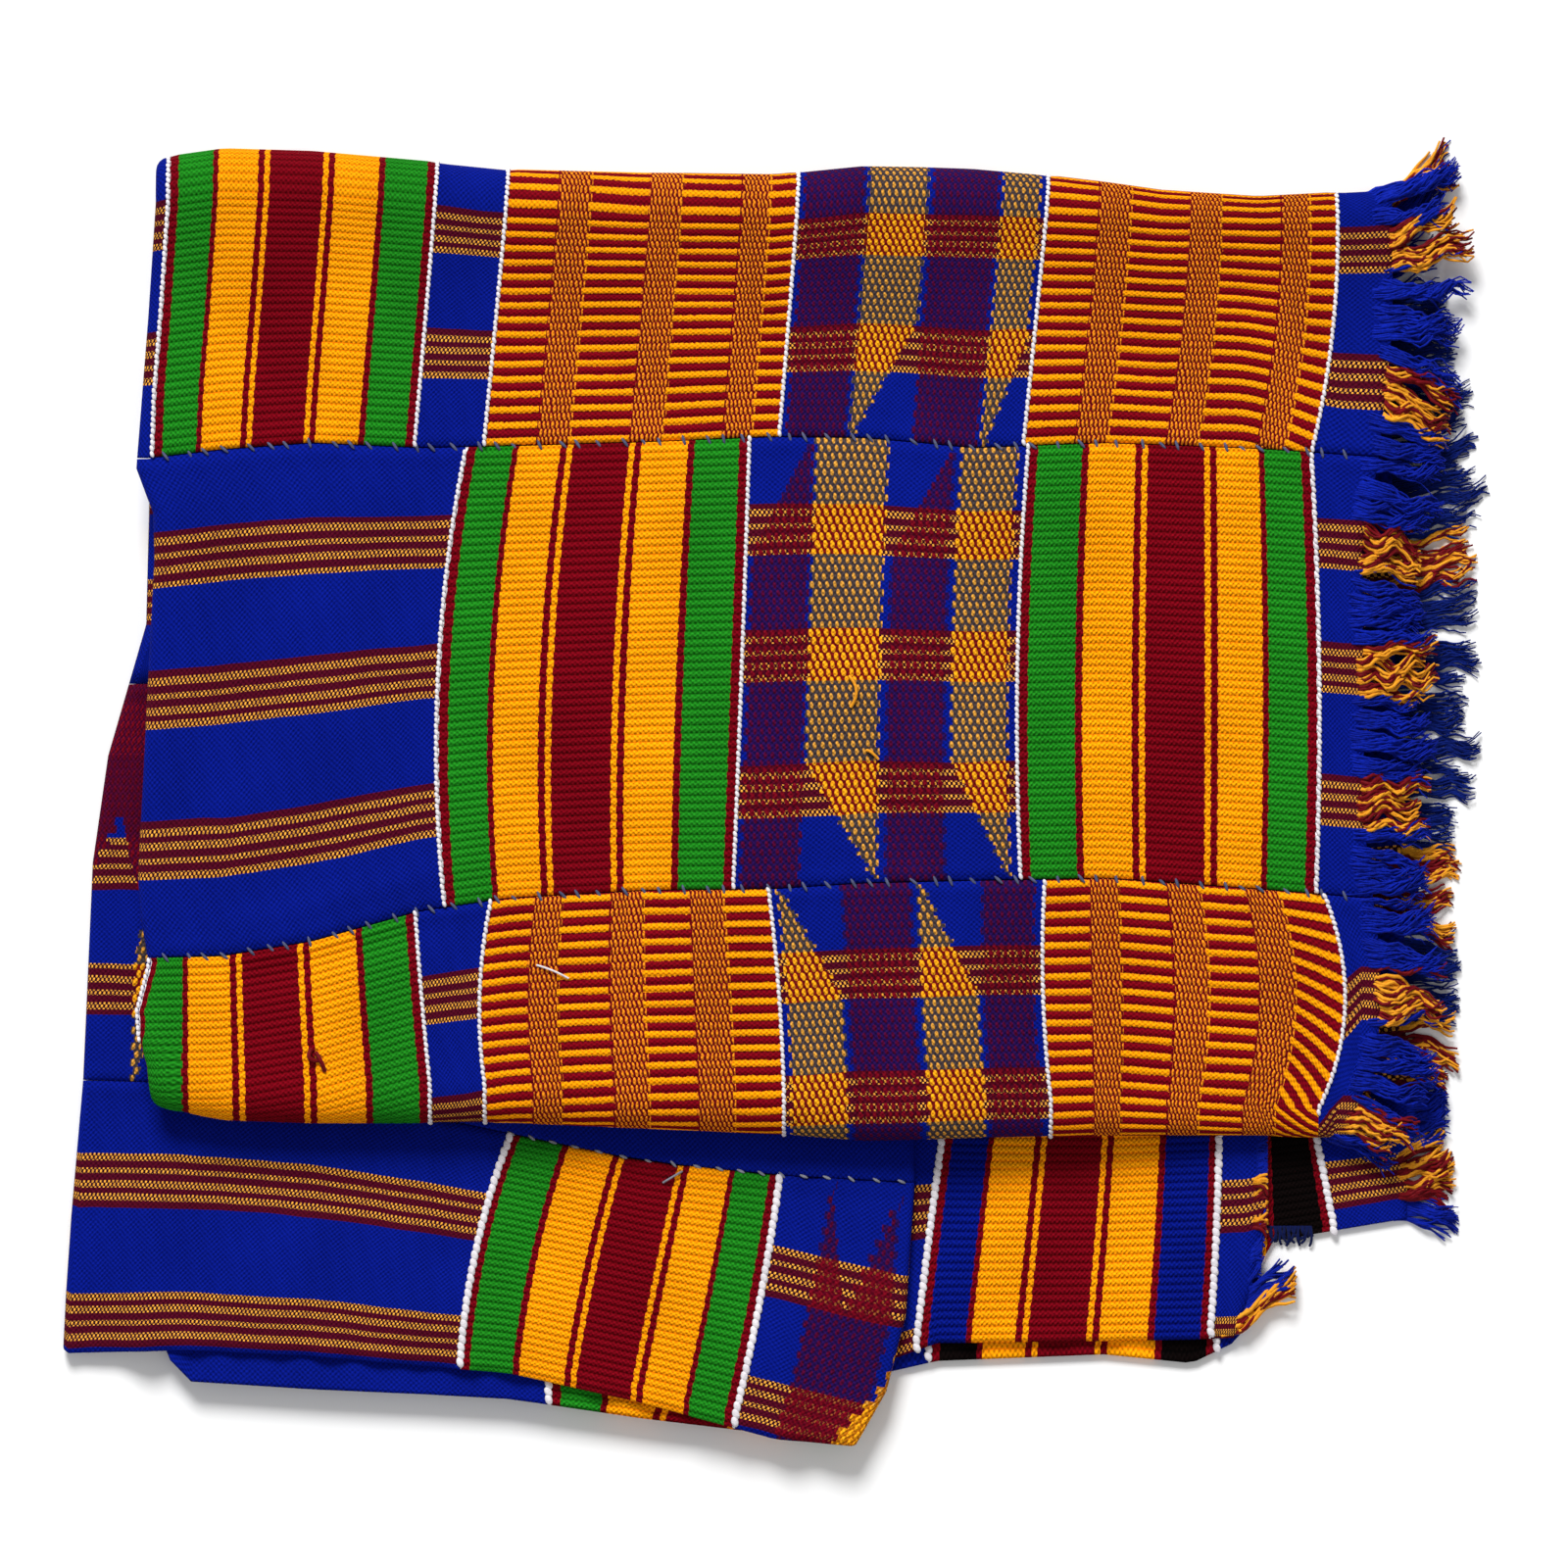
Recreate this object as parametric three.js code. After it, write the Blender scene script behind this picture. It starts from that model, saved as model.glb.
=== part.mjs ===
// A folded strip-woven cloth lying on a surface, in millimetres.
// x runs along the woven strips, y across them towards the top fold, z up from the surface.
// The cloth is folded in half along its strips and in half again, which gives four layers, and the
// four layers together are then folded back and forth across the strips in three passes.
import * as THREE from 'three';

// Cloth
const SHEET = 1.0;
const PITCH = 1.35;
const SEAM_GAP = 0.3;
const BEND_REACH = 3.5;
const SAG = 2.0;
const SAG_FROM = 64;
const SAG_TO = 122;
const FLAP_SWELL = 0.5;
const SWELL_FROM = -90;
const SWELL_RUN = 58;

// Fringe
const BACKING = 2.2;
const LOCK_WIDTH = 1.7;
const LOCK_CLUMP = 1.5;
const CLUMP_SPACING = 17;
const LOCK_DROOP = 3.0;
const LOCK_NARROWING = 0.45;
const LOCK_THINNING = 0.4;
const LOCK_COVER = 0.55;
const LOCK_STATIONS = [0.36, 0.72];
const LOCK_UNEVENNESS = 0.14;
const LOCK_RHYTHM = 2.4;
const LOCK_PHASE = 4.2;
const DROOP_START = 20;
const DROOP_END = 30;
const FLAP_LOCK_DROP = 1.2;
const LOWEST_LAYER_EDGE = 103;
const LOWEST_LAYER_RUN = 5;
const DROP_FROM = 0.2;
const DROP_TO = 0.7;

// Finish
const CLOTH_BLUE = 0x0b2296;
const FRINGE_BLUE = 0x12329a;
const CLOTH_ROUGHNESS = 0.9;

// Places across the strips, measured along the cloth from the seam under the middle strip
const INNER_START = -65;
const TOP_START = -49;
const LOWER_SEAM = 0;
const UPPER_SEAM = 100;
const TOP_END = 156;
const FLOOR_START = 180;
const FLAP_SEAM = 400;
const FLAP_EDGE = 465;

// Steps of the mesh
const FLAT_STEP = 36;
const BEND_STEPS = 5;

const OUTER_RIGHT = 0;
const INNER_RIGHT = 3;

/** Turns a list of column names and rows of numbers into rows with named values. */
function table(columns, ...rows) {
  return rows.map((row) => Object.fromEntries(columns.map((name, index) => [name, row[index]])));
}

// Where each line across the cloth lies (y), from the left of the cloth to its right
const LINES = table(
  ['x', 'topFold', 'upperSeam', 'lowerSeam', 'bottomFold', 'leftFlapSeam', 'rightFlapSeam'],
  [-165, 143.0, 76.0, -37.5, -70.0, -65.0, -65.0],
  [-142, 144.0, 76.0, -37.2, -70.5, -65.5, -65.5],
  [-125, 146.4, 78.0, -36.8, -73.8, -66.5, -66.0],
  [-105, 145.8, 79.5, -33.5, -74.5, -68.5, -66.5],
  [-80, 143.6, 78.4, -26.5, -74.5, -73.0, -67.0],
  [-60, 141.6, 78.8, -23.6, -74.4, -77.2, -67.5],
  [-30, 140.9, 79.7, -21.9, -75.7, -83.4, -68.5],
  [0, 140.5, 80.9, -21.5, -77.0, -86.6, -69.5],
  [20, 142.5, 80.7, -20.2, -78.7, -87.7, -70.5],
  [45, 140.9, 78.4, -19.6, -78.0, -89.0, -71.5],
  [75, 137.9, 79.6, -19.1, -77.4, -89.0, -72.0],
  [110, 135.7, 78.4, -21.6, -77.4, -89.0, -70.5],
  [145, 137.5, 76.0, -24.5, -79.0, -89.0, -67.0],
);

// Where the flap's edge lies (y) in each of its four layers
const FLAP_EDGES = table(
  ['x', 'outerRight', 'outerLeft', 'innerLeft', 'innerRight'],
  [-162, -124.5, -127.3, -126.0, -123.5],
  [-138, -124.5, -126.6, -128.0, -123.5],
  [-133, -124.5, -126.5, -133.6, -123.5],
  [-105, -125.0, -127.8, -135.4, -124.5],
  [-80, -126.5, -130.0, -136.5, -126.5],
  [-60, -128.5, -131.7, -137.6, -128.5],
  [-30, -134.0, -138.4, -142.0, -134.5],
  [0, -138.0, -146.6, -145.6, -138.0],
  [20, -133.0, -148.4, -147.2, -131.0],
  [37, -129.1, -148.4, -147.2, -125.0],
  [75, -127.6, -148.4, -147.2, -124.5],
  [95, -129.6, -148.4, -147.2, -124.2],
  [107, -123.8, -148.4, -147.2, -123.6],
  [112, -102.0, -148.4, -147.2, -121.0],
  [144, -96.7, -148.4, -147.2, -121.0],
);

// Where the folds and woven ends of the layers lie (x), going along the cloth across its strips
const FOLDS = table(
  ['s', 'outerFold', 'innerFold', 'rightFold', 'endOne', 'endTwo'],
  [-200, -139.5, -136.0, 27.0, 126.0, 106.0],
  [-65, -139.5, -136.0, 28.0, 128.0, 108.0],
  [-49, -140.0, -136.5, 28.0, 132.0, 109.0],
  [-36, -144.0, -137.5, 29.0, 137.0, 110.0],
  [-16, -141.0, -137.0, 29.0, 138.0, 110.0],
  [16, -144.2, -138.0, 29.0, 134.0, 110.0],
  [80, -140.5, -137.0, 29.0, 133.5, 109.0],
  [98, -144.6, -138.0, 29.0, 137.0, 110.0],
  [131, -142.0, -137.5, 29.0, 140.5, 111.0],
  [156, -140.3, -136.5, 29.0, 140.5, 111.0],
  [180, -140.5, -136.5, 29.0, 140.0, 111.0],
  [285, -142.9, -137.0, 30.0, 141.0, 112.0],
  [318, -151.6, -137.0, 31.0, 142.0, 112.0],
  [345, -155.1, -137.0, 31.5, 143.0, 112.0],
  [400, -157.3, -137.5, 32.0, 144.0, 112.0],
  [433, -160.0, -138.0, 30.0, 144.0, 112.0],
  [452, -161.2, -138.2, 25.5, 144.0, 108.5],
  [465, -161.8, -138.5, 18.7, 144.0, 104.5],
);

// How far the locks of the fringe reach past their backing
const FRINGE_REACH = table(
  ['s', 'endOne', 'endTwo'],
  [-200, 8, 8],
  [-65, 8, 8],
  [-45, 17, 10],
  [20, 19, 12],
  [60, 21, 12],
  [156, 18, 12],
  [180, 18, 12],
  [300, 17, 10],
  [400, 11, 6],
  [465, 10, 5],
);

// The woven strips in order, with the number of locks in the fringe at each of their ends
const STRIPS = [
  { name: 'inner', from: -200, to: -100, locksOne: 5, locksTwo: 4 },
  { name: 'lower', from: -100, to: LOWER_SEAM, locksOne: 24, locksTwo: 6 },
  { name: 'middle', from: LOWER_SEAM, to: UPPER_SEAM, locksOne: 30, locksTwo: 7 },
  { name: 'upper', from: UPPER_SEAM, to: 200, locksOne: 28, locksTwo: 6 },
  { name: 'back_upper', from: 200, to: 300, locksOne: 14, locksTwo: 4 },
  { name: 'back_lower', from: 300, to: FLAP_SEAM, locksOne: 14, locksTwo: 4 },
  { name: 'flap', from: FLAP_SEAM, to: FLAP_EDGE, locksOne: 9, locksTwo: 14 },
];

// Where the mesh has a column along each layer, as shares of the layer's run
const OUTER_RIGHT_COLUMNS = [0, 0.05, 0.1, 0.123, 0.18, 0.24, 0.31, 0.38, 0.48, 0.6, 0.72, 0.86, 1];
const OUTER_LEFT_COLUMNS = [0, 0.07, 0.2, 0.36, 0.54, 0.72, 0.88, 1];
const INNER_LEFT_COLUMNS = [0, 0.2, 0.45, 0.7, 0.9, 1];
const INNER_RIGHT_COLUMNS = [0, 0.1, 0.25, 0.42, 0.57, 0.69, 0.78, 0.86, 0.93, 1];
const OUTER_FOLD_STEPS = 4;
const SMALL_FOLD_STEPS = 3;

const { clamp, lerp, smoothstep } = THREE.MathUtils;

/** Reads one column of a table at a place between its rows. */
function read(rows, key, column, at) {
  const place = clamp(at, rows[0][key], rows[rows.length - 1][key]);
  const next = Math.max(1, rows.findIndex((row) => row[key] >= place));
  const [low, high] = [rows[next - 1], rows[next]];
  return lerp(low[column], high[column], (place - low[key]) / (high[key] - low[key]));
}

/** Reads the column of a layer, or a mix of two where a fold joins them. */
function readLayer(rows, columns, layer, x) {
  const first = Math.min(Math.floor(layer), columns.length - 2);
  const low = read(rows, 'x', columns[first], x);
  const high = read(rows, 'x', columns[first + 1], x);
  return lerp(low, high, layer - first);
}

const lineAt = (name, x) => read(LINES, 'x', name, x);
const foldAt = (name, s) => read(FOLDS, 's', name, s);
const flapSeamAt = (layer, x) =>
  readLayer(LINES, ['rightFlapSeam', 'leftFlapSeam', 'leftFlapSeam', 'rightFlapSeam'], layer, x);
const flapEdgeAt = (layer, x) =>
  readLayer(FLAP_EDGES, ['outerRight', 'outerLeft', 'innerLeft', 'innerRight'], layer, x);

// Right of the left half's fold only two layers are left in each pass, and the pile settles
const SETTLE_FROM = 34;
const SETTLE_TO = 118;
const INNER_SETTLE = 3 * PITCH;
const TOP_SETTLE = 4.6 * PITCH;
const settle = (x) => smoothstep(x, SETTLE_FROM, SETTLE_TO);

// Left of the inner fold the two outer layers close on each other
const CLOSE_FROM = 3;
const CLOSE_RUN = 12;
const CLOSE_SHARE = 1.7;
const closing = (x, s) => smoothstep(foldAt('innerFold', s) - CLOSE_FROM - x, 0, CLOSE_RUN);

const FLOOR_HEIGHT = SHEET / 2 + 1.5 * PITCH;
const INNER_HEIGHT = FLOOR_HEIGHT + 4 * PITCH;
const TOP_HEIGHT = INNER_HEIGHT + 4 * PITCH;
const floorHeight = (x) => FLOOR_HEIGHT - PITCH * settle(x);
const innerHeight = (x) => INNER_HEIGHT - INNER_SETTLE * settle(x);

/** Height of the middle of the top pass, which sags where the inner pass ends beneath it. */
function topHeight(x, y) {
  return TOP_HEIGHT - TOP_SETTLE * settle(x) - SAG * smoothstep(y, SAG_FROM, SAG_TO);
}

/** Level of a layer within its pass, before any fold turns it. */
function levelOf(layer, x, s) {
  const levels = [1.5, -1.5 + CLOSE_SHARE * closing(x, s), -0.5, 0.5];
  const settled = layer === OUTER_RIGHT || layer === INNER_RIGHT ? settle(x) : 0;
  return PITCH * (levels[layer] - settled);
}

/** The fold at the top or the bottom of the packet: its centre and its radii at one place along it. */
function packetFold(x, isTop) {
  const upper = topHeight(x, isTop ? SAG_TO : SAG_FROM);
  const lower = isTop ? floorHeight(x) : innerHeight(x);
  const radius = (upper - lower) / 2;
  const outermost = radius + BEND_REACH + levelOf(OUTER_RIGHT, x, 0) + SHEET / 2;
  const y = isTop ? lineAt('topFold', x) - outermost : lineAt('bottomFold', x) + outermost;
  return { y, z: (upper + lower) / 2, radius };
}

/** The top pass across the strips: the y of a place between its two folds and its two seams. */
function topPassY(x, s) {
  const rows = table(
    ['s', 'y'],
    [TOP_START, packetFold(x, false).y],
    [LOWER_SEAM, lineAt('lowerSeam', x)],
    [UPPER_SEAM, lineAt('upperSeam', x)],
    [TOP_END, packetFold(x, true).y],
  );
  return read(rows, 's', 'y', s);
}

/** The floor pass: the y of a place between the top fold, the flap's seam and the flap's edge. */
function floorPassY(layer, x, s) {
  const seam = flapSeamAt(layer, x);
  if (s <= FLAP_SEAM) {
    return lerp(packetFold(x, true).y, seam, (s - FLOOR_START) / (FLAP_SEAM - FLOOR_START));
  }
  return lerp(seam, flapEdgeAt(layer, x), (s - FLAP_SEAM) / (FLAP_EDGE - FLAP_SEAM));
}

/** Folds a flat place of the cloth (layer, s across, x along, level) into y and height. */
function foldAcross(layer, s, x, level) {
  if (s < TOP_START) {
    const fold = packetFold(x, false);
    if (s < INNER_START) {
      return [fold.y + INNER_START - s, innerHeight(x) - level];
    }
    const turn = (Math.PI * (TOP_START - s)) / (TOP_START - INNER_START);
    const reach = fold.radius + BEND_REACH + level;
    return [fold.y - reach * Math.sin(turn), fold.z + (fold.radius + level) * Math.cos(turn)];
  }
  if (s <= TOP_END) {
    const y = topPassY(x, s);
    return [y, topHeight(x, y) + level];
  }
  if (s < FLOOR_START) {
    const fold = packetFold(x, true);
    const turn = (Math.PI * (s - TOP_END)) / (FLOOR_START - TOP_END);
    const reach = fold.radius + BEND_REACH + level;
    return [fold.y + reach * Math.sin(turn), fold.z + (fold.radius + level) * Math.cos(turn)];
  }
  return [floorPassY(layer, x, s), floorHeight(x) - level];
}

// Waves of the pile: a broad swell along and across the strips, and a small slanting one
const BROAD_WAVE = { share: 0.035, alongX: 37, alongY: 29, phase: 0.6 };
const SLANT_WAVE = { share: 0.012, length: 23, slope: 1.3 };

/** Gentle unevenness of the pile, as a share of the height, so that the underside stays flat. */
function loft(x, y) {
  const along = Math.sin(x / BROAD_WAVE.alongX + BROAD_WAVE.phase);
  const broad = BROAD_WAVE.share * along * Math.cos(y / BROAD_WAVE.alongY);
  const slant = SLANT_WAVE.share * Math.sin((x + SLANT_WAVE.slope * y) / SLANT_WAVE.length);
  const swell = FLAP_SWELL * clamp((SWELL_FROM - y) / SWELL_RUN, 0, 1);
  return 1 + broad + slant + swell;
}

/** The place in space of a flat place of the cloth. */
function place(layer, s, x, level) {
  const [y, z] = foldAcross(layer, s, x, level);
  return new THREE.Vector3(x, y, z * loft(x, y));
}

/** Centre line of the four layers at one place across the strips: x, level and layer of each column. */
function layerLine(s) {
  const tight = PITCH / 2;
  const half = SHEET / 2;
  const outerEdge = foldAt('outerFold', s);
  const top = levelOf(OUTER_RIGHT, outerEdge, s);
  const under = levelOf(1, outerEdge, s);
  const wide = (top - under) / 2;
  const outerX = outerEdge + wide + half;
  const innerX = foldAt('innerFold', s) + tight + half;
  const rightX = foldAt('rightFold', s) - tight - half;
  const points = [];

  const run = (columns, layer, fromX, toX) => {
    for (const share of columns) {
      const x = lerp(fromX, toX, share);
      points.push({ x, level: levelOf(layer, x, s), layer });
    }
  };
  const turn = (steps, layer, x, level, radius, side, sense) => {
    for (let step = 1; step < steps; step += 1) {
      const angle = (Math.PI * step) / steps;
      points.push({
        x: x + side * radius * Math.sin(angle),
        level: level + sense * radius * Math.cos(angle),
        layer: layer + step / steps,
      });
    }
  };

  run(OUTER_RIGHT_COLUMNS, OUTER_RIGHT, foldAt('endOne', s), outerX);
  turn(OUTER_FOLD_STEPS, 0, outerX, (top + under) / 2, wide, -1, 1);
  run(OUTER_LEFT_COLUMNS, 1, outerX, rightX);
  turn(SMALL_FOLD_STEPS, 1, rightX, -PITCH, tight, 1, -1);
  run(INNER_LEFT_COLUMNS, 2, rightX, innerX);
  turn(SMALL_FOLD_STEPS, 2, innerX, 0, tight, -1, -1);
  run(INNER_RIGHT_COLUMNS, INNER_RIGHT, innerX, foldAt('endTwo', s));
  return points;
}

/** Both faces of the sheet along that line, as places in space. */
function sheetSection(s) {
  const line = layerLine(s);
  return line.map((point, index) => {
    const before = line[Math.max(0, index - 1)];
    const after = line[Math.min(line.length - 1, index + 1)];
    const along = new THREE.Vector2(after.x - before.x, after.level - before.level).normalize();
    const offset = SHEET / 2;
    const face = (sign) => {
      const x = point.x + sign * offset * along.y;
      const level = point.level - sign * offset * along.x;
      return place(point.layer, s, x, level);
    };
    return [face(1), face(-1)];
  });
}

/** Places across one strip at which the mesh has a row: close in the folds, wider on the flat. */
function rowsOf(from, to) {
  const knots = [from, ...FOLDS.map((row) => row.s).filter((s) => s > from && s < to), to];
  const rows = [from];
  for (let index = 1; index < knots.length; index += 1) {
    const [start, end] = [knots[index - 1], knots[index]];
    const inFold = start === INNER_START || start === TOP_END;
    const steps = inFold ? BEND_STEPS : Math.max(1, Math.ceil((end - start) / FLAT_STEP));
    for (let step = 1; step <= steps; step += 1) {
      rows.push(lerp(start, end, step / steps));
    }
  }
  return rows;
}

/** A closed solid from vertices and quads, turned so that its faces point out. */
function closedSolid(name, points, quads, color) {
  const split = ([a, b, c, d]) => (d === undefined ? [[a, b, c]] : [[a, b, c], [a, c, d]]);
  const triangles = quads.flatMap(split);
  const volume = triangles.reduce((sum, [a, b, c]) => {
    const normal = new THREE.Vector3().crossVectors(points[b], points[c]);
    return sum + points[a].dot(normal);
  }, 0);
  const faces = volume < 0 ? triangles.map(([a, b, c]) => [a, c, b]) : triangles;
  const geometry = new THREE.BufferGeometry().setFromPoints(points);
  geometry.setIndex(faces.flat());
  geometry.computeVertexNormals();
  const material = new THREE.MeshStandardMaterial({ color, roughness: CLOTH_ROUGHNESS, metalness: 0 });
  const mesh = new THREE.Mesh(geometry, material);
  mesh.name = name;
  return mesh;
}

/** One woven strip, folded with the whole cloth. */
function wovenStrip({ name, from, to }) {
  const last = to === FLAP_EDGE ? to : to - SEAM_GAP / 2;
  const sections = rowsOf(from + SEAM_GAP / 2, last).map(sheetSection);
  const columns = sections[0].length;
  const points = sections.flat(2);
  const at = (row, column, side) => (row * columns + column) * 2 + side;
  const quads = [];
  const patch = (row, column, side) => [
    at(row, column, side),
    at(row, column + 1, side),
    at(row + 1, column + 1, side),
    at(row + 1, column, side),
  ];
  for (let row = 0; row + 1 < sections.length; row += 1) {
    for (let column = 0; column + 1 < columns; column += 1) {
      quads.push(patch(row, column, 0));
      quads.push(patch(row, column, 1).reverse());
    }
    for (const column of [0, columns - 1]) {
      const ring = [at(row, column, 0), at(row + 1, column, 0), at(row + 1, column, 1), at(row, column, 1)];
      quads.push(column === 0 ? ring : ring.reverse());
    }
  }
  for (const row of [0, sections.length - 1]) {
    for (let column = 0; column + 1 < columns; column += 1) {
      const ring = [at(row, column, 0), at(row, column, 1), at(row, column + 1, 1), at(row, column + 1, 0)];
      quads.push(row === 0 ? ring : ring.reverse());
    }
  }
  return closedSolid(`strip_${name}`, points, quads, CLOTH_BLUE);
}

/** How far a lock of the fringe has dropped at a share of its reach. */
function lockDrop(layer, s, y, share) {
  if (layer === OUTER_RIGHT) {
    const pastBottom = smoothstep(s, TOP_START, TOP_START + DROOP_START);
    const beforeTop = 1 - smoothstep(s, TOP_END - DROOP_END, TOP_END);
    return LOCK_DROOP * pastBottom * beforeTop * share * share;
  }
  if (s <= FLAP_SEAM) {
    return 0;
  }
  const pastLowestLayer = smoothstep(-y, LOWEST_LAYER_EDGE, LOWEST_LAYER_EDGE + LOWEST_LAYER_RUN);
  return FLAP_LOCK_DROP * pastLowestLayer * smoothstep(share, DROP_FROM, DROP_TO);
}

/** The fringe at one end of a strip: a narrow backing with tapering locks fused into it. */
function fringe({ name, from, to }, end, locks) {
  const layer = end === 'endOne' ? OUTER_RIGHT : INNER_RIGHT;
  const points = [];
  const quads = [];
  const spacing = (to - from - 4 * SEAM_GAP) / locks;
  const clumped = (s, share) => s + LOCK_CLUMP * share * Math.sin((2 * Math.PI * s) / CLUMP_SPACING);

  const corner = (s, reach, lift, share) => {
    const x = foldAt(end, s) + SEAM_GAP + reach;
    const point = place(layer, s, x, levelOf(layer, x, s) + lift);
    point.z -= lockDrop(layer, s, point.y, share);
    return points.push(point) - 1;
  };
  const station = (s) => ({
    inner: [corner(s, 0, SHEET / 2, 0), corner(s, 0, -SHEET / 2, 0)],
    outer: [corner(s, BACKING, SHEET / 2, 0), corner(s, BACKING, -SHEET / 2, 0)],
  });
  const wall = (a, b) => {
    quads.push([a.inner[0], b.inner[0], b.outer[0], a.outer[0]]);
    quads.push([a.inner[1], a.outer[1], b.outer[1], b.inner[1]]);
    quads.push([a.inner[0], a.inner[1], b.inner[1], b.inner[0]]);
  };
  const lock = (a, b, middle, reach, width) => {
    let ring = [a.outer[0], b.outer[0], b.outer[1], a.outer[1]];
    const floorLayer = layer === OUTER_RIGHT && middle >= FLOOR_START;
    for (const share of LOCK_STATIONS) {
      const half = (width / 2) * (1 - LOCK_NARROWING * share);
      const thick = (SHEET / 2) * (1 - LOCK_THINNING * share);
      const rest = floorLayer ? SHEET / 2 - thick : 0;
      const s = clumped(middle, share);
      const next = [[-half, thick], [half, thick], [half, -thick], [-half, -thick]].map(([across, lift]) =>
        corner(s + across, BACKING + reach * share, lift + rest, share));
      ring.forEach((from0, index) => {
        const other = (index + 1) % 4;
        quads.push([from0, ring[other], next[other], next[index]]);
      });
      ring = next;
    }
    const tip = corner(clumped(middle, 1), BACKING + reach, floorLayer ? SHEET / 4 : 0, 1);
    ring.forEach((from0, index) => quads.push([from0, ring[(index + 1) % 4], tip]));
  };

  let previous = station(from + 2 * SEAM_GAP);
  quads.push([previous.inner[0], previous.outer[0], previous.outer[1], previous.inner[1]]);
  for (let index = 0; index < locks; index += 1) {
    const middle = from + 2 * SEAM_GAP + spacing * (index + 0.5);
    const uneven = 1 - LOCK_UNEVENNESS * (1 - Math.sin(LOCK_RHYTHM * index + LOCK_PHASE));
    const width = Math.min(LOCK_WIDTH, LOCK_COVER * spacing);
    const [a, b] = [station(middle - width / 2), station(middle + width / 2)];
    wall(previous, a);
    quads.push([previous.outer[0], a.outer[0], a.outer[1], previous.outer[1]]);
    wall(a, b);
    lock(a, b, middle, uneven * read(FRINGE_REACH, 's', end, middle), width);
    previous = b;
  }
  const finish = station(to - 2 * SEAM_GAP);
  wall(previous, finish);
  quads.push([previous.outer[0], finish.outer[0], finish.outer[1], previous.outer[1]]);
  quads.push([finish.inner[0], finish.inner[1], finish.outer[1], finish.outer[0]]);
  const label = end === 'endOne' ? 'first' : 'second';
  return closedSolid(`fringe_${label}_${name}`, points, quads, FRINGE_BLUE);
}

const cloth = new THREE.Group();
cloth.name = 'folded_kente_cloth';
for (const strip of STRIPS) {
  cloth.add(wovenStrip(strip));
  cloth.add(fringe(strip, 'endOne', strip.locksOne));
  cloth.add(fringe(strip, 'endTwo', strip.locksTwo));
}

// The origin is on the surface, under the middle of the whole cloth
const middle = new THREE.Box3().setFromObject(cloth).getCenter(new THREE.Vector3());
cloth.position.set(-middle.x, -middle.y, 0);

export default cloth;
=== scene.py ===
"""A folded strip-woven cloth, dressed with its weave, woven blocks, seams and fringe.

Lengths in the tables are millimetres of the cloth. They become metres where a mesh is made.
"""
import logging
import math
from dataclasses import dataclass, field
from enum import Enum, IntEnum
from typing import Callable, Sequence

import bpy
import numpy as np
from bpy.types import Material, Mesh, NodeSocket, NodeTree, Object
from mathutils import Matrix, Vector


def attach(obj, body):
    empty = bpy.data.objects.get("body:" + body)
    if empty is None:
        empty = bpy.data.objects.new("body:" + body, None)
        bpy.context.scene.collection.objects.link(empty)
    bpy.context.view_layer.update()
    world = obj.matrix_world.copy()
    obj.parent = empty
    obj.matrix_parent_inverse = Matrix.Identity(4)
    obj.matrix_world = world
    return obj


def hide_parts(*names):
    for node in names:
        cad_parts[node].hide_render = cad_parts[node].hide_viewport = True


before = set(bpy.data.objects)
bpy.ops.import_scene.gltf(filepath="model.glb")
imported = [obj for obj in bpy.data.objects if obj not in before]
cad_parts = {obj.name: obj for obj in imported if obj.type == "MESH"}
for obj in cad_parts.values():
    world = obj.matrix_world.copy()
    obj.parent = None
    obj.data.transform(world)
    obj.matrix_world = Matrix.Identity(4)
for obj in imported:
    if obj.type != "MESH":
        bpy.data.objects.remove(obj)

LOG = logging.getLogger("folded_cloth")
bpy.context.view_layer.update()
MM = 0.001
STRIP_WIDTH = 100.0
BODY = "root"
WEAVE_MAP = "weave"
# The mesh attribute that carries painted shade
PAINTED_SHADE = "painted_shade"
STRIP_SLOT = "woven_strip"
FRINGE_SLOT = "fringe_yarn"

Value = float | NodeSocket
Colour = tuple[float, float, float, float]
Array = np.ndarray


class Layer(IntEnum):
    """The four layers that the cloth has once it is folded twice along its strips."""

    OUTER_RIGHT = 0
    OUTER_LEFT = 1
    INNER_LEFT = 2
    INNER_RIGHT = 3

    @property
    def outward(self) -> int:
        """Which way its level rises towards the side that shows: up on the top face only."""
        return 1 if self is Layer.OUTER_RIGHT else -1


class Section(IntEnum):
    """The kinds of weaving that follow each other along a strip."""

    GROUND = 0
    GREEN_STRIPES = 1
    BLUE_STRIPES = 2
    BLACK_STRIPES = 3
    UPPER_BASKET = 4
    UPPER_MOTIF = 5
    MIDDLE_MOTIF = 6
    LOWER_MOTIF = 7
    FLAP_MOTIF = 8
    MARGIN_MOTIF = 9
    LOWER_BASKET = 10


class Face(Enum):
    """The two faces of a strip: the right side and the back."""

    RIGHT = 1
    BACK = -1


class End(Enum):
    """The two fringed ends of a strip, by the column of the fold table that places them."""

    FIRST = "end_one"
    SECOND = "end_two"


def table(names: str, *rows: Sequence[float]) -> dict[str, Array]:
    """Turns rows of numbers into named columns.

    Args:
        names: The column names, parted by spaces.
        rows: One row of numbers for each place.

    Returns:
        Each column by its name.
    """
    return dict(zip(names.split(), np.array(rows, dtype=float).T))


def smooth(value: Array, low: float, high: float) -> Array:
    """Rises smoothly from 0 at low to 1 at high."""
    share = np.clip((value - low) / (high - low), 0, 1)
    return share * share * (3 - 2 * share)


def mix(a: Array, b: Array, share: Array) -> Array:
    """Goes straight from a to b."""
    return a + (b - a) * share


def spread(*values: Array) -> list[Array]:
    """Brings values to one common shape."""
    return np.broadcast_arrays(*(np.asarray(value, dtype=float) for value in values))


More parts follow.
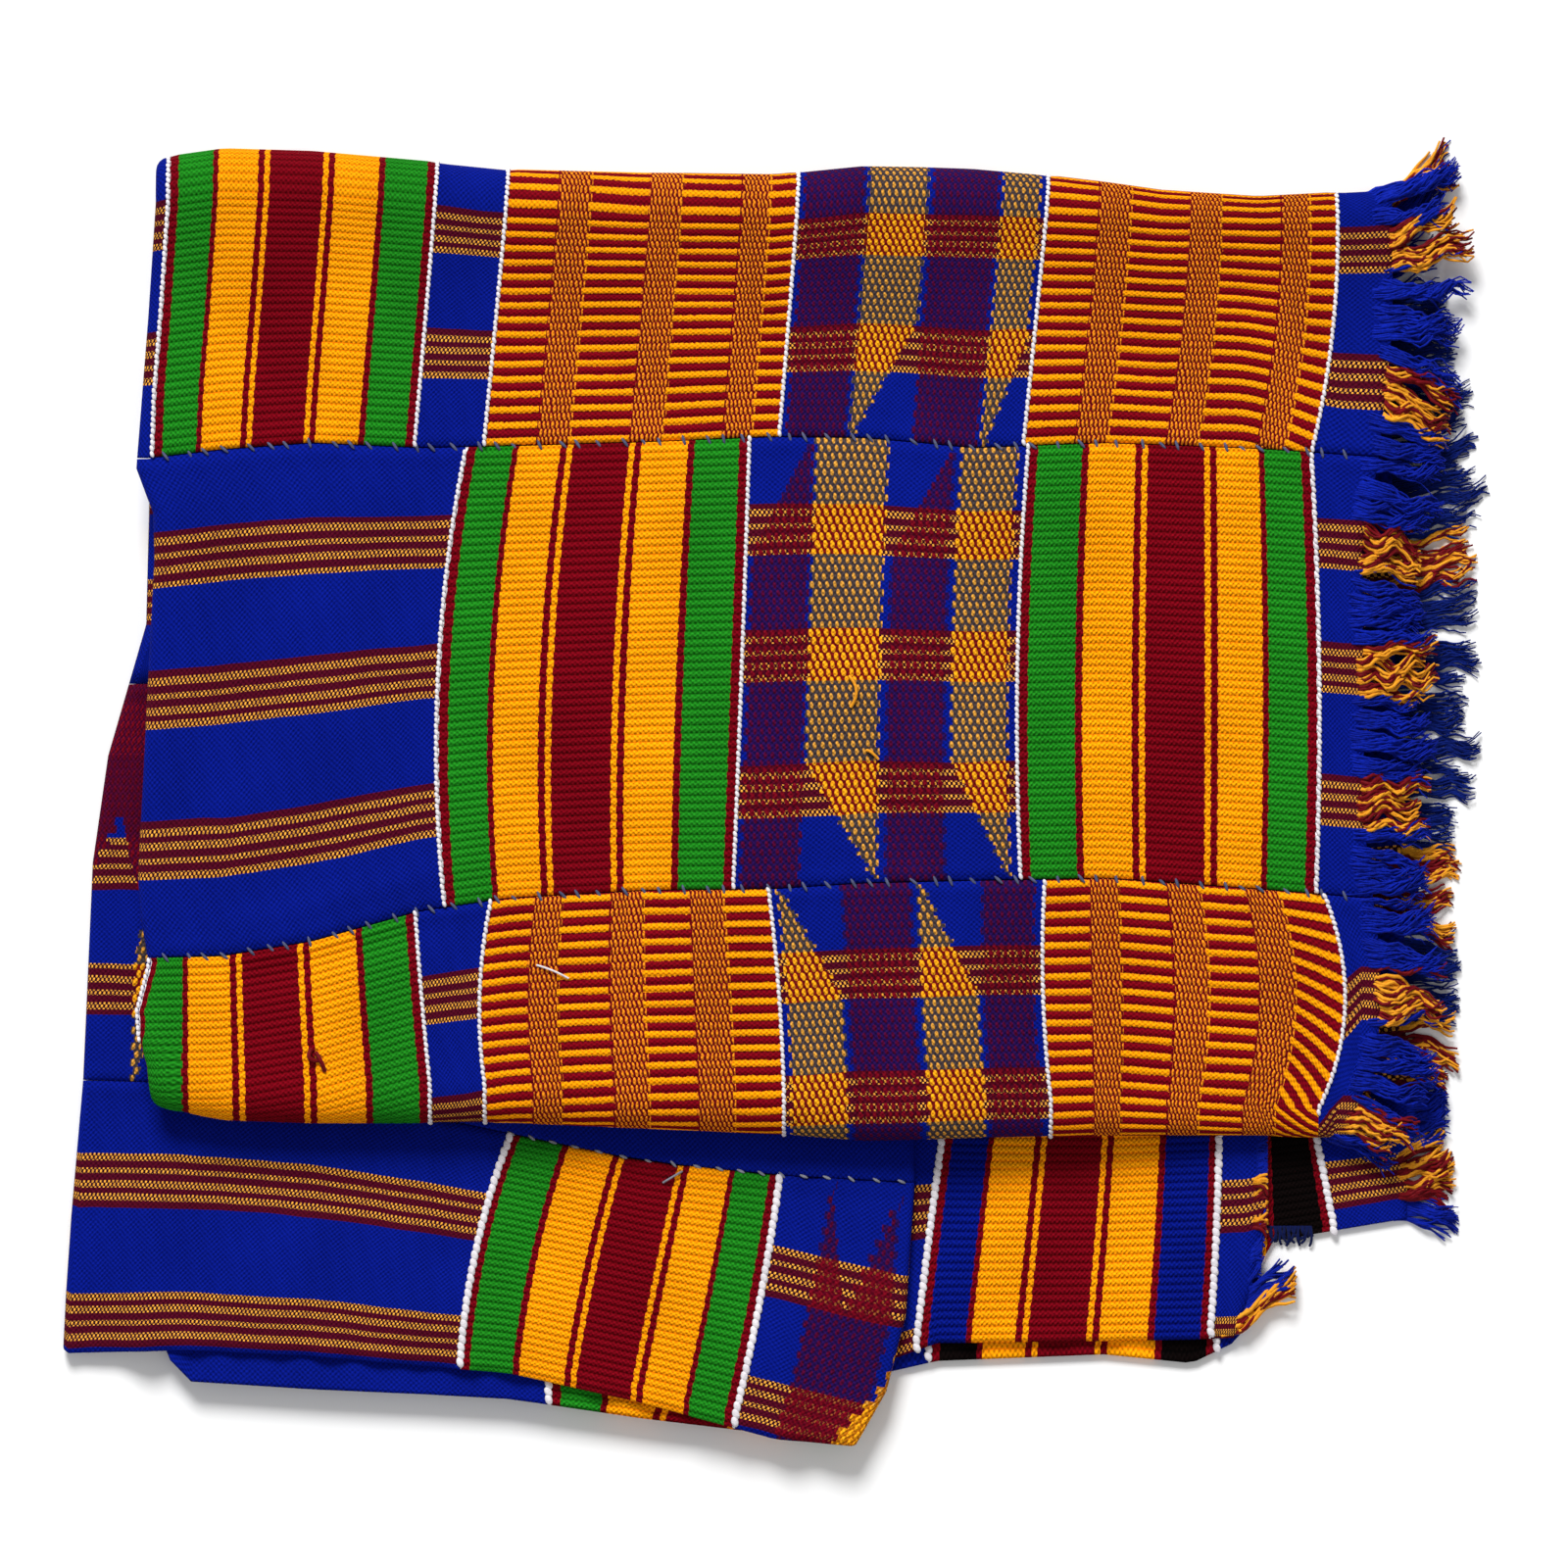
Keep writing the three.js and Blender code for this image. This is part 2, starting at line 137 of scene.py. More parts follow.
def unit(ways: Array) -> Array:
    """Brings each way to a length of one."""
    return ways / np.linalg.norm(ways, axis=1, keepdims=True)


# Where each line across the cloth lies (y), from the left of the cloth to its right
LINES = table(
    "x top_fold upper_seam lower_seam bottom_fold left_flap_seam right_flap_seam",
    (-165, 143.0, 76.0, -37.5, -70.0, -65.0, -65.0),
    (-142, 144.0, 76.0, -37.2, -70.5, -65.5, -65.5),
    (-125, 146.4, 78.0, -36.8, -73.8, -66.5, -66.0),
    (-105, 145.8, 79.5, -33.5, -74.5, -68.5, -66.5),
    (-80, 143.6, 78.4, -26.5, -74.5, -73.0, -67.0),
    (-60, 141.6, 78.8, -23.6, -74.4, -77.2, -67.5),
    (-30, 140.9, 79.7, -21.9, -75.7, -83.4, -68.5),
    (0, 140.5, 80.9, -21.5, -77.0, -86.6, -69.5),
    (20, 142.5, 80.7, -20.2, -78.7, -87.7, -70.5),
    (33, 142.3, 79.6, -19.9, -78.4, -88.4, -71.0),
    (45, 141.9, 78.4, -19.6, -78.0, -89.0, -71.5),
    (60, 140.6, 79.0, -19.4, -77.7, -89.0, -71.8),
    (75, 138.9, 79.6, -19.1, -77.4, -89.0, -72.0),
    (88, 137.1, 79.2, -20.0, -77.4, -89.0, -71.4),
    (110, 135.7, 78.4, -21.6, -77.4, -89.0, -70.5),
    (145, 137.5, 76.0, -24.5, -79.0, -89.0, -67.0),
)

# Where the flap's edge lies (y) in each of its four layers
FLAP_EDGES = table(
    "x outer_right outer_left inner_left inner_right",
    (-162, -124.5, -127.3, -126.0, -123.5),
    (-138, -124.5, -126.6, -128.0, -123.5),
    (-133, -124.5, -126.5, -133.6, -123.5),
    (-105, -125.0, -127.8, -135.4, -124.5),
    (-80, -126.5, -130.0, -136.5, -126.5),
    (-60, -128.5, -131.7, -137.6, -128.5),
    (-30, -134.0, -138.4, -142.0, -134.5),
    (0, -138.0, -146.6, -145.6, -138.0),
    (20, -133.0, -148.4, -147.2, -131.0),
    (37, -129.1, -148.4, -147.2, -125.0),
    (75, -127.6, -148.4, -147.2, -124.5),
    (95, -129.6, -148.4, -147.2, -124.2),
    (107, -123.8, -148.4, -147.2, -123.6),
    (112, -102.0, -148.4, -147.2, -121.0),
    (144, -96.7, -148.4, -147.2, -121.0),
)

# Where the folds and woven ends of the layers lie (x), going along the cloth across its strips
FOLDS = table(
    "s outer_fold inner_fold right_fold end_one end_two",
    (-200, -139.5, -136.0, 27.0, 126.0, 106.0),
    (-65, -140.5, -136.0, 28.0, 128.0, 108.0),
    (-49, -142.2, -136.5, 28.0, 132.0, 109.0),
    (-36, -144.0, -137.5, 29.0, 137.0, 110.0),
    (-24, -144.4, -137.2, 29.0, 137.6, 110.0),
    (-13, -143.0, -137.1, 29.0, 137.6, 110.0),
    (-2, -141.6, -137.4, 29.0, 136.2, 110.0),
    (8, -143.6, -137.8, 29.0, 135.0, 110.0),
    (16, -144.2, -138.0, 29.0, 134.0, 110.0),
    (80, -140.5, -137.0, 29.0, 133.5, 109.0),
    (89, -140.8, -137.4, 29.0, 135.2, 109.5),
    (98, -144.6, -138.0, 29.0, 137.0, 110.0),
    (131, -142.0, -137.5, 29.0, 140.5, 111.0),
    (156, -140.3, -136.5, 29.0, 140.5, 111.0),
    (180, -140.5, -136.5, 29.0, 140.0, 111.0),
    (285, -142.9, -137.0, 30.0, 141.0, 112.0),
    (318, -151.6, -137.0, 31.0, 142.0, 112.0),
    (345, -155.1, -137.0, 31.5, 143.0, 112.0),
    (400, -157.3, -137.5, 32.0, 144.0, 112.0),
    (433, -160.0, -138.0, 30.0, 144.0, 112.0),
    (452, -161.2, -138.2, 25.5, 144.0, 108.5),
    (465, -161.8, -138.5, 18.7, 144.0, 104.5),
)

# How far the yarns of the fringe reach past the weave's last picks, and how far they fan in y
FRINGE_REACH = table(
    "s end_one end_two fan_one fan_two",
    (-200, 8, 8, 0, 0),
    (-65, 8, 8, -5, 0),
    (-45, 14, 10, -4, 0),
    (0, 15, 12, -1, 0),
    (60, 16, 12, 0, 0),
    (100, 14, 12, -3, 0),
    (112, 15, 12, -8, 0),
    (124, 16, 12, -8, 0),
    (129, 16, 12, -2, 0),
    (150, 17, 12, 2, 0),
    (163, 15, 12, 2, 0),
    (171, 15, 12, 4, 0),
    (175, 15, 12, 11, 0),
    (186, 14, 12, 12, 0),
    (190, 10, 12, 3, 0),
    (215, 14, 12, 0, 0),
    (245, 20, 12, 3, 0),
    (270, 21, 12, 4, 0),
    (285, 20, 12, 1, 0),
    (300, 19, 10, 0, 0),
    (330, 15.5, 8, -1, 0),
    (345, 12.5, 7.5, -1, 0),
    (399, 9.5, 6, -2, 0),
    (400, 8, 0, 0, 0),
    (430, 8, 0, 4, 0),
    (440, 8.5, 0.2, 3, 0),
    (451, 9.5, 1.2, 1, 1),
    (454, 10, 8, -1, 4),
    (465, 10, 13, -3, 8),
)

# Soft dents and ridges in the pile: a line from one place to another, its half width and its rise
CREASES = table(
    "x0 y0 x1 y1 width rise",
    (119.0, -61.0, 128.0, -79.0, 3.0, -0.10),
    (113.0, -60.0, 120.0, -79.0, 4.0, 0.06),
    (-120.0, -30.0, -75.0, -18.0, 4.0, 0.035),
    (-118.0, -42.0, -80.0, -31.0, 3.5, -0.04),
    (-100.0, 20.0, -30.0, 26.0, 22.0, 0.03),
    (10.0, 60.0, 40.0, -12.0, 24.0, 0.03),
    (75.0, 120.0, 62.0, 88.0, 9.0, 0.03),
    (-105.0, -105.0, -70.0, -118.0, 9.0, 0.07),
    (-20.0, -100.0, -45.0, -132.0, 11.0, 0.06),
)


@dataclass(frozen=True)
class FoldMap:
    """Where each place of the cloth lies once it is folded.

    The four layers are folded together across the strips into an inner pass, a top pass and a floor
    pass whose edge is the flap. s is the distance along the cloth across its strips.
    """

    shift: tuple[float, float] = (0.2237, 1.7091)
    sheet: float = 1.0
    pitch: float = 1.35
    bend_reach: float = 3.5
    sag: float = 2.0
    sag_from: float = 64.0
    sag_to: float = 122.0
    flap_swell: float = 0.5
    swell_from: float = -90.0
    swell_run: float = 58.0
    inner_start: float = -65.0
    top_start: float = -49.0
    lower_seam: float = 0.0
    upper_seam: float = 100.0
    top_end: float = 156.0
    floor_start: float = 180.0
    flap_seam: float = 400.0
    flap_edge: float = 465.0
    settle_from: float = 34.0
    settle_to: float = 118.0
    top_settle: float = 4.6
    close_from: float = 3.0
    close_run: float = 12.0
    close_share: float = 1.7

    def line(self, name: str, x: Array) -> Array:
        """Reads the y of a line across the cloth at x."""
        return np.interp(x, LINES["x"], LINES[name])

    def fold(self, name: str, s: Array) -> Array:
        """Reads the x of a fold or woven end at s."""
        return np.interp(s, FOLDS["s"], FOLDS[name])

    def by_layer(self, source: dict[str, Array], names: Sequence[str], layer: Array, x: Array) -> Array:
        """Reads the column of a layer, or a mix of two where a fold joins them.

        Args:
            source: The table to read.
            names: The column of each layer, in order.
            layer: The layer, with a fraction inside a fold.
            x: The place along the strips.

        Returns:
            The y at each place.
        """
        values = np.stack([np.interp(x, source["x"], source[name]) for name in names])
        first = np.clip(np.floor(layer).astype(int), 0, len(names) - 2)
        low = np.take_along_axis(values, first[None], 0)[0]
        high = np.take_along_axis(values, first[None] + 1, 0)[0]
        return mix(low, high, layer - first)

    def settle(self, x: Array) -> Array:
        """How far the pile has settled where only two layers are left in each pass."""
        return smooth(x, self.settle_from, self.settle_to)

    def floor_height(self, x: Array) -> Array:
        """Height of the middle of the floor pass."""
        return self.sheet / 2 + self.pitch * (1.5 - self.settle(x))

    def inner_height(self, x: Array) -> Array:
        """Height of the middle of the inner pass."""
        return self.sheet / 2 + self.pitch * (5.5 - 3 * self.settle(x))

    def top_height(self, x: Array, y: Array) -> Array:
        """Height of the middle of the top pass, which sags where the inner pass ends beneath it."""
        rest = self.sheet / 2 + self.pitch * (9.5 - self.top_settle * self.settle(x))
        return rest - self.sag * smooth(y, self.sag_from, self.sag_to)

    def level(self, layer: Layer, x: Array, s: Array) -> Array:
        """Level of a layer within its pass, before any fold turns it."""
        if layer is Layer.OUTER_LEFT:
            gap = self.fold("inner_fold", s) - self.close_from - x
            return self.pitch * (self.close_share * smooth(gap, 0, self.close_run) - 1.5)
        if layer is Layer.INNER_LEFT:
            return np.full_like(x, -0.5 * self.pitch)
        rest = 1.5 if layer is Layer.OUTER_RIGHT else 0.5
        return self.pitch * (rest - self.settle(x))

    def packet_fold(self, x: Array, is_top: bool) -> tuple[Array, Array, Array]:
        """The fold at the top or the bottom of the packet.

        Args:
            x: The place along the strips.
            is_top: True for the top fold.

        Returns:
            The y and the height of the fold's centre, and its radius.
        """
        upper = self.top_height(x, np.full_like(x, self.sag_to if is_top else self.top_start))
        lower = self.floor_height(x) if is_top else self.inner_height(x)
        radius = (upper - lower) / 2
        outermost = radius + self.bend_reach + self.level(Layer.OUTER_RIGHT, x, x) + self.sheet / 2
        y = self.line("top_fold", x) - outermost if is_top else self.line("bottom_fold", x) + outermost
        return y, (upper + lower) / 2, radius

    def across(self, layer: Array, s: Array, x: Array, level: Array) -> tuple[Array, Array]:
        """Folds a flat place of the cloth across the strips.

        Args:
            layer: The layer, with a fraction inside a fold along the strips.
            s: The distance across the strips.
            x: The place along the strips.
            level: The level within the pass.

        Returns:
            The y and the height.
        """
        low_y, low_z, low_radius = self.packet_fold(x, False)
        high_y, high_z, high_radius = self.packet_fold(x, True)
        low_turn = np.pi * (self.top_start - s) / (self.top_start - self.inner_start)
        high_turn = np.pi * (s - self.top_end) / (self.floor_start - self.top_end)
        lower_seam = self.line("lower_seam", x)
        upper_seam = self.line("upper_seam", x)
        top_y = np.select(
            [s < self.lower_seam, s < self.upper_seam],
            [
                mix(low_y, lower_seam, (s - self.top_start) / (self.lower_seam - self.top_start)),
                mix(lower_seam, upper_seam, (s - self.lower_seam) / (self.upper_seam - self.lower_seam)),
            ],
            mix(upper_seam, high_y, (s - self.upper_seam) / (self.top_end - self.upper_seam)),
        )
        seam_names = ("right_flap_seam", "left_flap_seam", "left_flap_seam", "right_flap_seam")
        edge_names = ("outer_right", "outer_left", "inner_left", "inner_right")
        seam = self.by_layer(LINES, seam_names, layer, x)
        edge = self.by_layer(FLAP_EDGES, edge_names, layer, x)
        floor_y = np.where(
            s < self.flap_seam,
            mix(high_y, seam, (s - self.floor_start) / (self.flap_seam - self.floor_start)),
            mix(seam, edge, (s - self.flap_seam) / (self.flap_edge - self.flap_seam)),
        )
        passes = [s < self.inner_start, s < self.top_start, s <= self.top_end, s < self.floor_start]
        y = np.select(
            passes,
            [
                low_y + self.inner_start - s,
                low_y - (low_radius + self.bend_reach + level) * np.sin(low_turn),
                top_y,
                high_y + (high_radius + self.bend_reach + level) * np.sin(high_turn),
            ],
            floor_y,
        )
        z = np.select(
            passes,
            [
                self.inner_height(x) - level,
                low_z + (low_radius + level) * np.cos(low_turn),
                self.top_height(x, top_y) + level,
                high_z + (high_radius + level) * np.cos(high_turn),
            ],
            self.floor_height(x) - level,
        )
        return y, z

    def find(self, layer: Layer, x: Array, y: Array) -> Array:
        """Finds the distance across the strips of places on the top face or the flap."""
        on_top = layer is Layer.OUTER_RIGHT
        reach = (self.top_start, self.top_end) if on_top else (self.flap_seam, self.flap_edge)
        s = np.linspace(*reach, 300)
        found = []
        for one_x, one_y in zip(x, y):
            flat = np.full_like(s, one_x)
            there, _ = self.across(np.full_like(s, float(layer)), s, flat, flat * 0)
            order = np.argsort(there)
            found.append(np.interp(one_y, there[order], s[order]))
        return np.array(found)

    def loft(self, x: Array, y: Array) -> Array:
        """Gentle unevenness of the pile, as a share of the height, so that the underside stays flat."""
        wave = 0.035 * np.sin(x / 37 + 0.6) * np.cos(y / 29) + 0.012 * np.sin((x + 1.3 * y) / 23)
        swell = self.flap_swell * np.clip((self.swell_from - y) / self.swell_run, 0, 1)
        return 1 + wave + swell + self.creases(x, y)

    def creases(self, x: Array, y: Array) -> Array:
        """Rise of the soft dents and ridges, as a share of the height."""
        total = np.zeros_like(x)
        for x0, y0, x1, y1, width, rise in zip(*CREASES.values()):
            run = np.array((x1 - x0, y1 - y0))
            share = np.clip(((x - x0) * run[0] + (y - y0) * run[1]) / (run @ run), 0, 1)
            away = np.hypot(x - x0 - share * run[0], y - y0 - share * run[1])
            total += rise * np.exp(-((away / width) ** 2))
        return total

    def place(self, layer: Array, s: Array, x: Array, level: Array) -> Array:
        """The place in space of a flat place of the cloth.

        Args:
            layer: The layer, with a fraction inside a fold.
            s: The distance across the strips.
            x: The place along the strips.
            level: The level within the pass.

        Returns:
            Points in metres, in the part's frame, with the coordinates on the last axis.
        """
        layer, s, x, level = spread(layer, s, x, level)
        y, z = self.across(layer, s, x, level)
        z = z * self.loft(x, y)
        return np.stack((x + self.shift[0], y + self.shift[1], z), axis=-1) * MM


FOLD = FoldMap()


@dataclass(frozen=True)
class Line:
    """A line across a strip where one section ends: its x at three places across the strip."""

    v: tuple[float, float, float]
    x: tuple[float, float, float]

    def at(self, v: Array) -> Array:
        """The x at v, on the parabola through the three places."""
        return np.polyval(np.polyfit(self.v, self.x, 2), np.clip(v, self.v[0], self.v[-1]))


@dataclass(frozen=True)
class Span:
    """One section of a layer, up to the line or fold where it ends.

    first and last are the places in the section's pattern where the span starts and ends. A span
    that ends on a white twisted pick has pick set to the face that shows it, from pick_from on.
    """

    section: Section
    until: Line | None = None
    first: float = 1.0
    last: float = 0.0
    step: float = 12.0
    pick: Face | None = None
    pick_from: float = -300.0


FINE = 2.4
MEDIUM = 5.0
COARSE = 14.0


def upper_line(mid: float, lean: float) -> Line:
    """A line on the upper strip, which leans left towards its seam."""
    return Line((0, 30, 62), (mid - lean, mid, mid + lean))


def middle_line(*x: float) -> Line:
    """A line on the middle strip, given at its lower seam, half way and its upper seam."""
    return Line((0, 50, 100), x)


def lower_line(*x: float) -> Line:
    """A line on the lower strip, given at the bottom fold, half way and its upper seam."""
    return Line((51, 75, 100), x)


def flap_line(*x: float) -> Line:
    """A line on the flap, given at its seam, half way and its edge."""
    return Line((0, 32, 62), x)


def plain_top(until: Line) -> Span:
    """The plain end of a strip on the top face."""
    return Span(Section.GROUND, until, 0.0, 0.12, FINE, Face.RIGHT)


def top_span(section: Section, until: Line) -> Span:
    """A whole block on the top face."""
    return Span(section, until, step=FINE, pick=Face.RIGHT)


def hidden() -> list[Span]:
    """A layer that stays hidden, of plain ground."""
    return [Span(Section.GROUND, first=0.0, last=1.7, step=COARSE)]


def left_margin(section: Section = Section.GROUND) -> list[Span]:
    """A layer that shows only beside the left fold, up to the packet's edge."""
    return [Span(section, flap_line(-130.0, -130.0, -130.0), 0.0, 0.42, FINE), *hidden()]


UPPER_RUN = [
    plain_top(Line((0, 30, 62), (122.0, 126.9, 127.9))),
    top_span(Section.UPPER_BASKET, upper_line(59.3, 2.9)),
    top_span(Section.UPPER_MOTIF, upper_line(3.3, 2.2)),
    top_span(Section.UPPER_BASKET, upper_line(-63.1, 2.7)),
    Span(Section.GROUND, upper_line(-79.0, 2.5), 0.0, 0.17, FINE, Face.RIGHT),
    top_span(Section.GREEN_STRIPES, upper_line(-140.0, 1.0)),
    Span(Section.GROUND, None, 0.0, 0.02, FINE),
]
MIDDLE_RUN = [
    plain_top(middle_line(123.1, 123.8, 122.0)),
    Span(Section.GREEN_STRIPES, middle_line(55.8, 55.1, 57.6), 0.0, 1.0, FINE, Face.RIGHT),
    top_span(Section.MIDDLE_MOTIF, middle_line(-9.3, -7.3, -5.6)),
    top_span(Section.GREEN_STRIPES, middle_line(-74.7, -76.2, -69.8)),
    Span(Section.GROUND, None, 0.0, 0.67, FINE),
]
LOWER_RUN = [
    Span(Section.GROUND, lower_line(123.6, 129.6, 124.9), 0.0, 0.12, FINE, Face.RIGHT, -50.0),
    top_span(Section.LOWER_BASKET, lower_line(62.7, 60.9, 61.3)),
    top_span(Section.LOWER_MOTIF, lower_line(2.2, 1.1, -1.3)),
    top_span(Section.LOWER_BASKET, lower_line(-65.6, -66.7, -64.2)),
    Span(Section.GROUND, lower_line(-78.0, -79.8, -81.3), 0.0, 0.17, FINE, Face.RIGHT),
    Span(Section.GREEN_STRIPES, lower_line(-133.9, -133.9, -133.9), 1.0, 0.170, FINE),
    Span(Section.GREEN_STRIPES, None, 0.170, 0.050, FINE),
]
FLAP_RUNS = {
    Layer.OUTER_RIGHT: [
        Span(Section.GROUND, flap_line(121.6, 124.6, 127.3), 0.0, 0.2, FINE, Face.BACK),
        Span(Section.BLACK_STRIPES, flap_line(111.0, 111.0, 111.0), 1.0, 0.77, FINE),
        Span(Section.GROUND, flap_line(100.7, 100.7, 100.7), 0.2, 0.3, MEDIUM, Face.BACK),
        Span(Section.BLACK_STRIPES, flap_line(35.1, 35.1, 35.1), step=FINE, pick=Face.BACK),
        Span(Section.GROUND, None, 0.0, 1.8, COARSE),
    ],
    Layer.OUTER_LEFT: [
        Span(Section.GROUND, flap_line(-59.8, -67.6, -71.3), 0.0, 0.97, FINE, Face.RIGHT),
        Span(Section.GREEN_STRIPES, flap_line(1.3, -3.3, -8.9), 1.0, 0.0, FINE, Face.RIGHT),
        Span(Section.FLAP_MOTIF, None, 0.0, 0.47, FINE),
    ],
    Layer.INNER_LEFT: [
        Span(Section.GREEN_STRIPES, flap_line(-51.3, -51.3, -51.3), 0.98, 0.0, FINE, Face.BACK),
        Span(Section.GROUND, None, 0.0, 0.85, MEDIUM),
    ],
    Layer.INNER_RIGHT: [
        Span(Section.GROUND, flap_line(39.1, 35.6, 32.4), 0.0, 1.75, COARSE, Face.RIGHT),
        Span(Section.BLUE_STRIPES, flap_line(101.3, 100.7, 99.3), 0.0, 1.0, FINE, Face.RIGHT),
        Span(Section.GROUND, None, 0.0, 0.11, FINE),
    ],
}


def rolled_margin() -> list[Span]:
    """A hidden layer whose weave rolls round the left fold into the margin beside it."""
    return [
        Span(Section.GROUND, flap_line(-120.0, -120.0, -120.0), 0.0, 1.5, COARSE),
        Span(Section.MARGIN_MOTIF, None, -0.4, -0.08, MEDIUM),
    ]


def hidden_runs(top: list[Span], left: list[Span]) -> dict[Layer, list[Span]]:
    """The runs of a strip whose other layers stay inside the packet."""
    return {
        Layer.OUTER_RIGHT: top,
        Layer.OUTER_LEFT: left,
        Layer.INNER_LEFT: hidden(),
        Layer.INNER_RIGHT: hidden(),
    }


def upper_lean(layer: Array, s: Array, x: Array) -> Array:
    """Rows of the upper strip, closer where it rounds the top fold and lower at its right end."""
    d = s - FOLD.upper_seam
    rounding = (1 + smooth(x, -80.0, 0.0)) * (0.0012 * d * d - 0.05 * d)
    return rounding + 6.5 * smooth(x, 104.0, 130.0) * np.clip((165 - s) / 65, 0, 1)


def lower_lean(layer: Array, s: Array, x: Array) -> Array:
    """Rows of the lower strip, more rolled under at its left, with its right corner tucked under."""
    shown = (FOLD.line("lower_seam", x) - FOLD.packet_fold(x, False)[0]) / -FOLD.top_start
    rolled = (1 - shown) * np.clip(-s, 0, -FOLD.top_start)
    past = x - LOWER_RUN[0].until.at(s + 100)
    tucked = np.clip((past + 13.0) / 12.5, 0, 1) - 0.75 * smooth(past, 0.3, 4.0)
    return rolled + 11.0 * tucked * np.clip(-s / 49, 0, 1)


def flap_lean(layer: Array, s: Array, x: Array) -> Array:
    """Rows of the flap, which lean down beside its right fold."""
    return np.where(np.rint(layer) == Layer.OUTER_LEFT, -0.17 * np.maximum(x, 0), 0.0)


def srgb(red: int, green: int, blue: int) -> Colour:
    """A dye's colour, from display values of 0 to 255 to the linear values that shaders take."""
    shares = (value / 255 for value in (red, green, blue))
    linear = (c / 12.92 if c <= 0.04045 else ((c + 0.055) / 1.055) ** 2.4 for c in shares)
    return (*linear, 1.0)


BLUE = srgb(6, 23, 127)
GOLD = srgb(255, 161, 8)
MAROON = srgb(119, 5, 21)
DARK_MAROON = srgb(62, 2, 14)
GREEN = srgb(31, 132, 29)
BLACK = srgb(12, 6, 6)
PALE_GOLD = srgb(240, 166, 60)
WARP_MAROON = srgb(76, 8, 30)
SPECKLE = srgb(48, 8, 32)
ORANGE = srgb(248, 142, 28)
ROW_GOLD = srgb(254, 156, 6)
WHITE = srgb(240, 236, 240)
CHECK_MAROON = srgb(104, 6, 18)
FLOAT_MAROON = srgb(112, 8, 26)
DOTTED_MAROON = srgb(92, 5, 24)
UNDER_MAROON = srgb(112, 16, 18)
UNDER_GREY = srgb(66, 56, 58)
UNDER_GOLD = srgb(176, 100, 14)
DULL_GOLD = srgb(216, 152, 58)
BRIGHT_GOLD = srgb(252, 168, 24)
PLUM = srgb(78, 7, 48)
VIOLET = srgb(36, 13, 74)
MARGIN_PLUM = srgb(88, 5, 26)
MARGIN_VIOLET = srgb(70, 6, 40)


@dataclass(frozen=True)
class Surface:
    """How a material takes light, and how deep and strong its bump is."""

    roughness: float
    specular: float
    sheen: float
    bump: float
    strength: float


COTTON = Surface(0.92, 0.03, 0.0, 0.00035, 0.8)


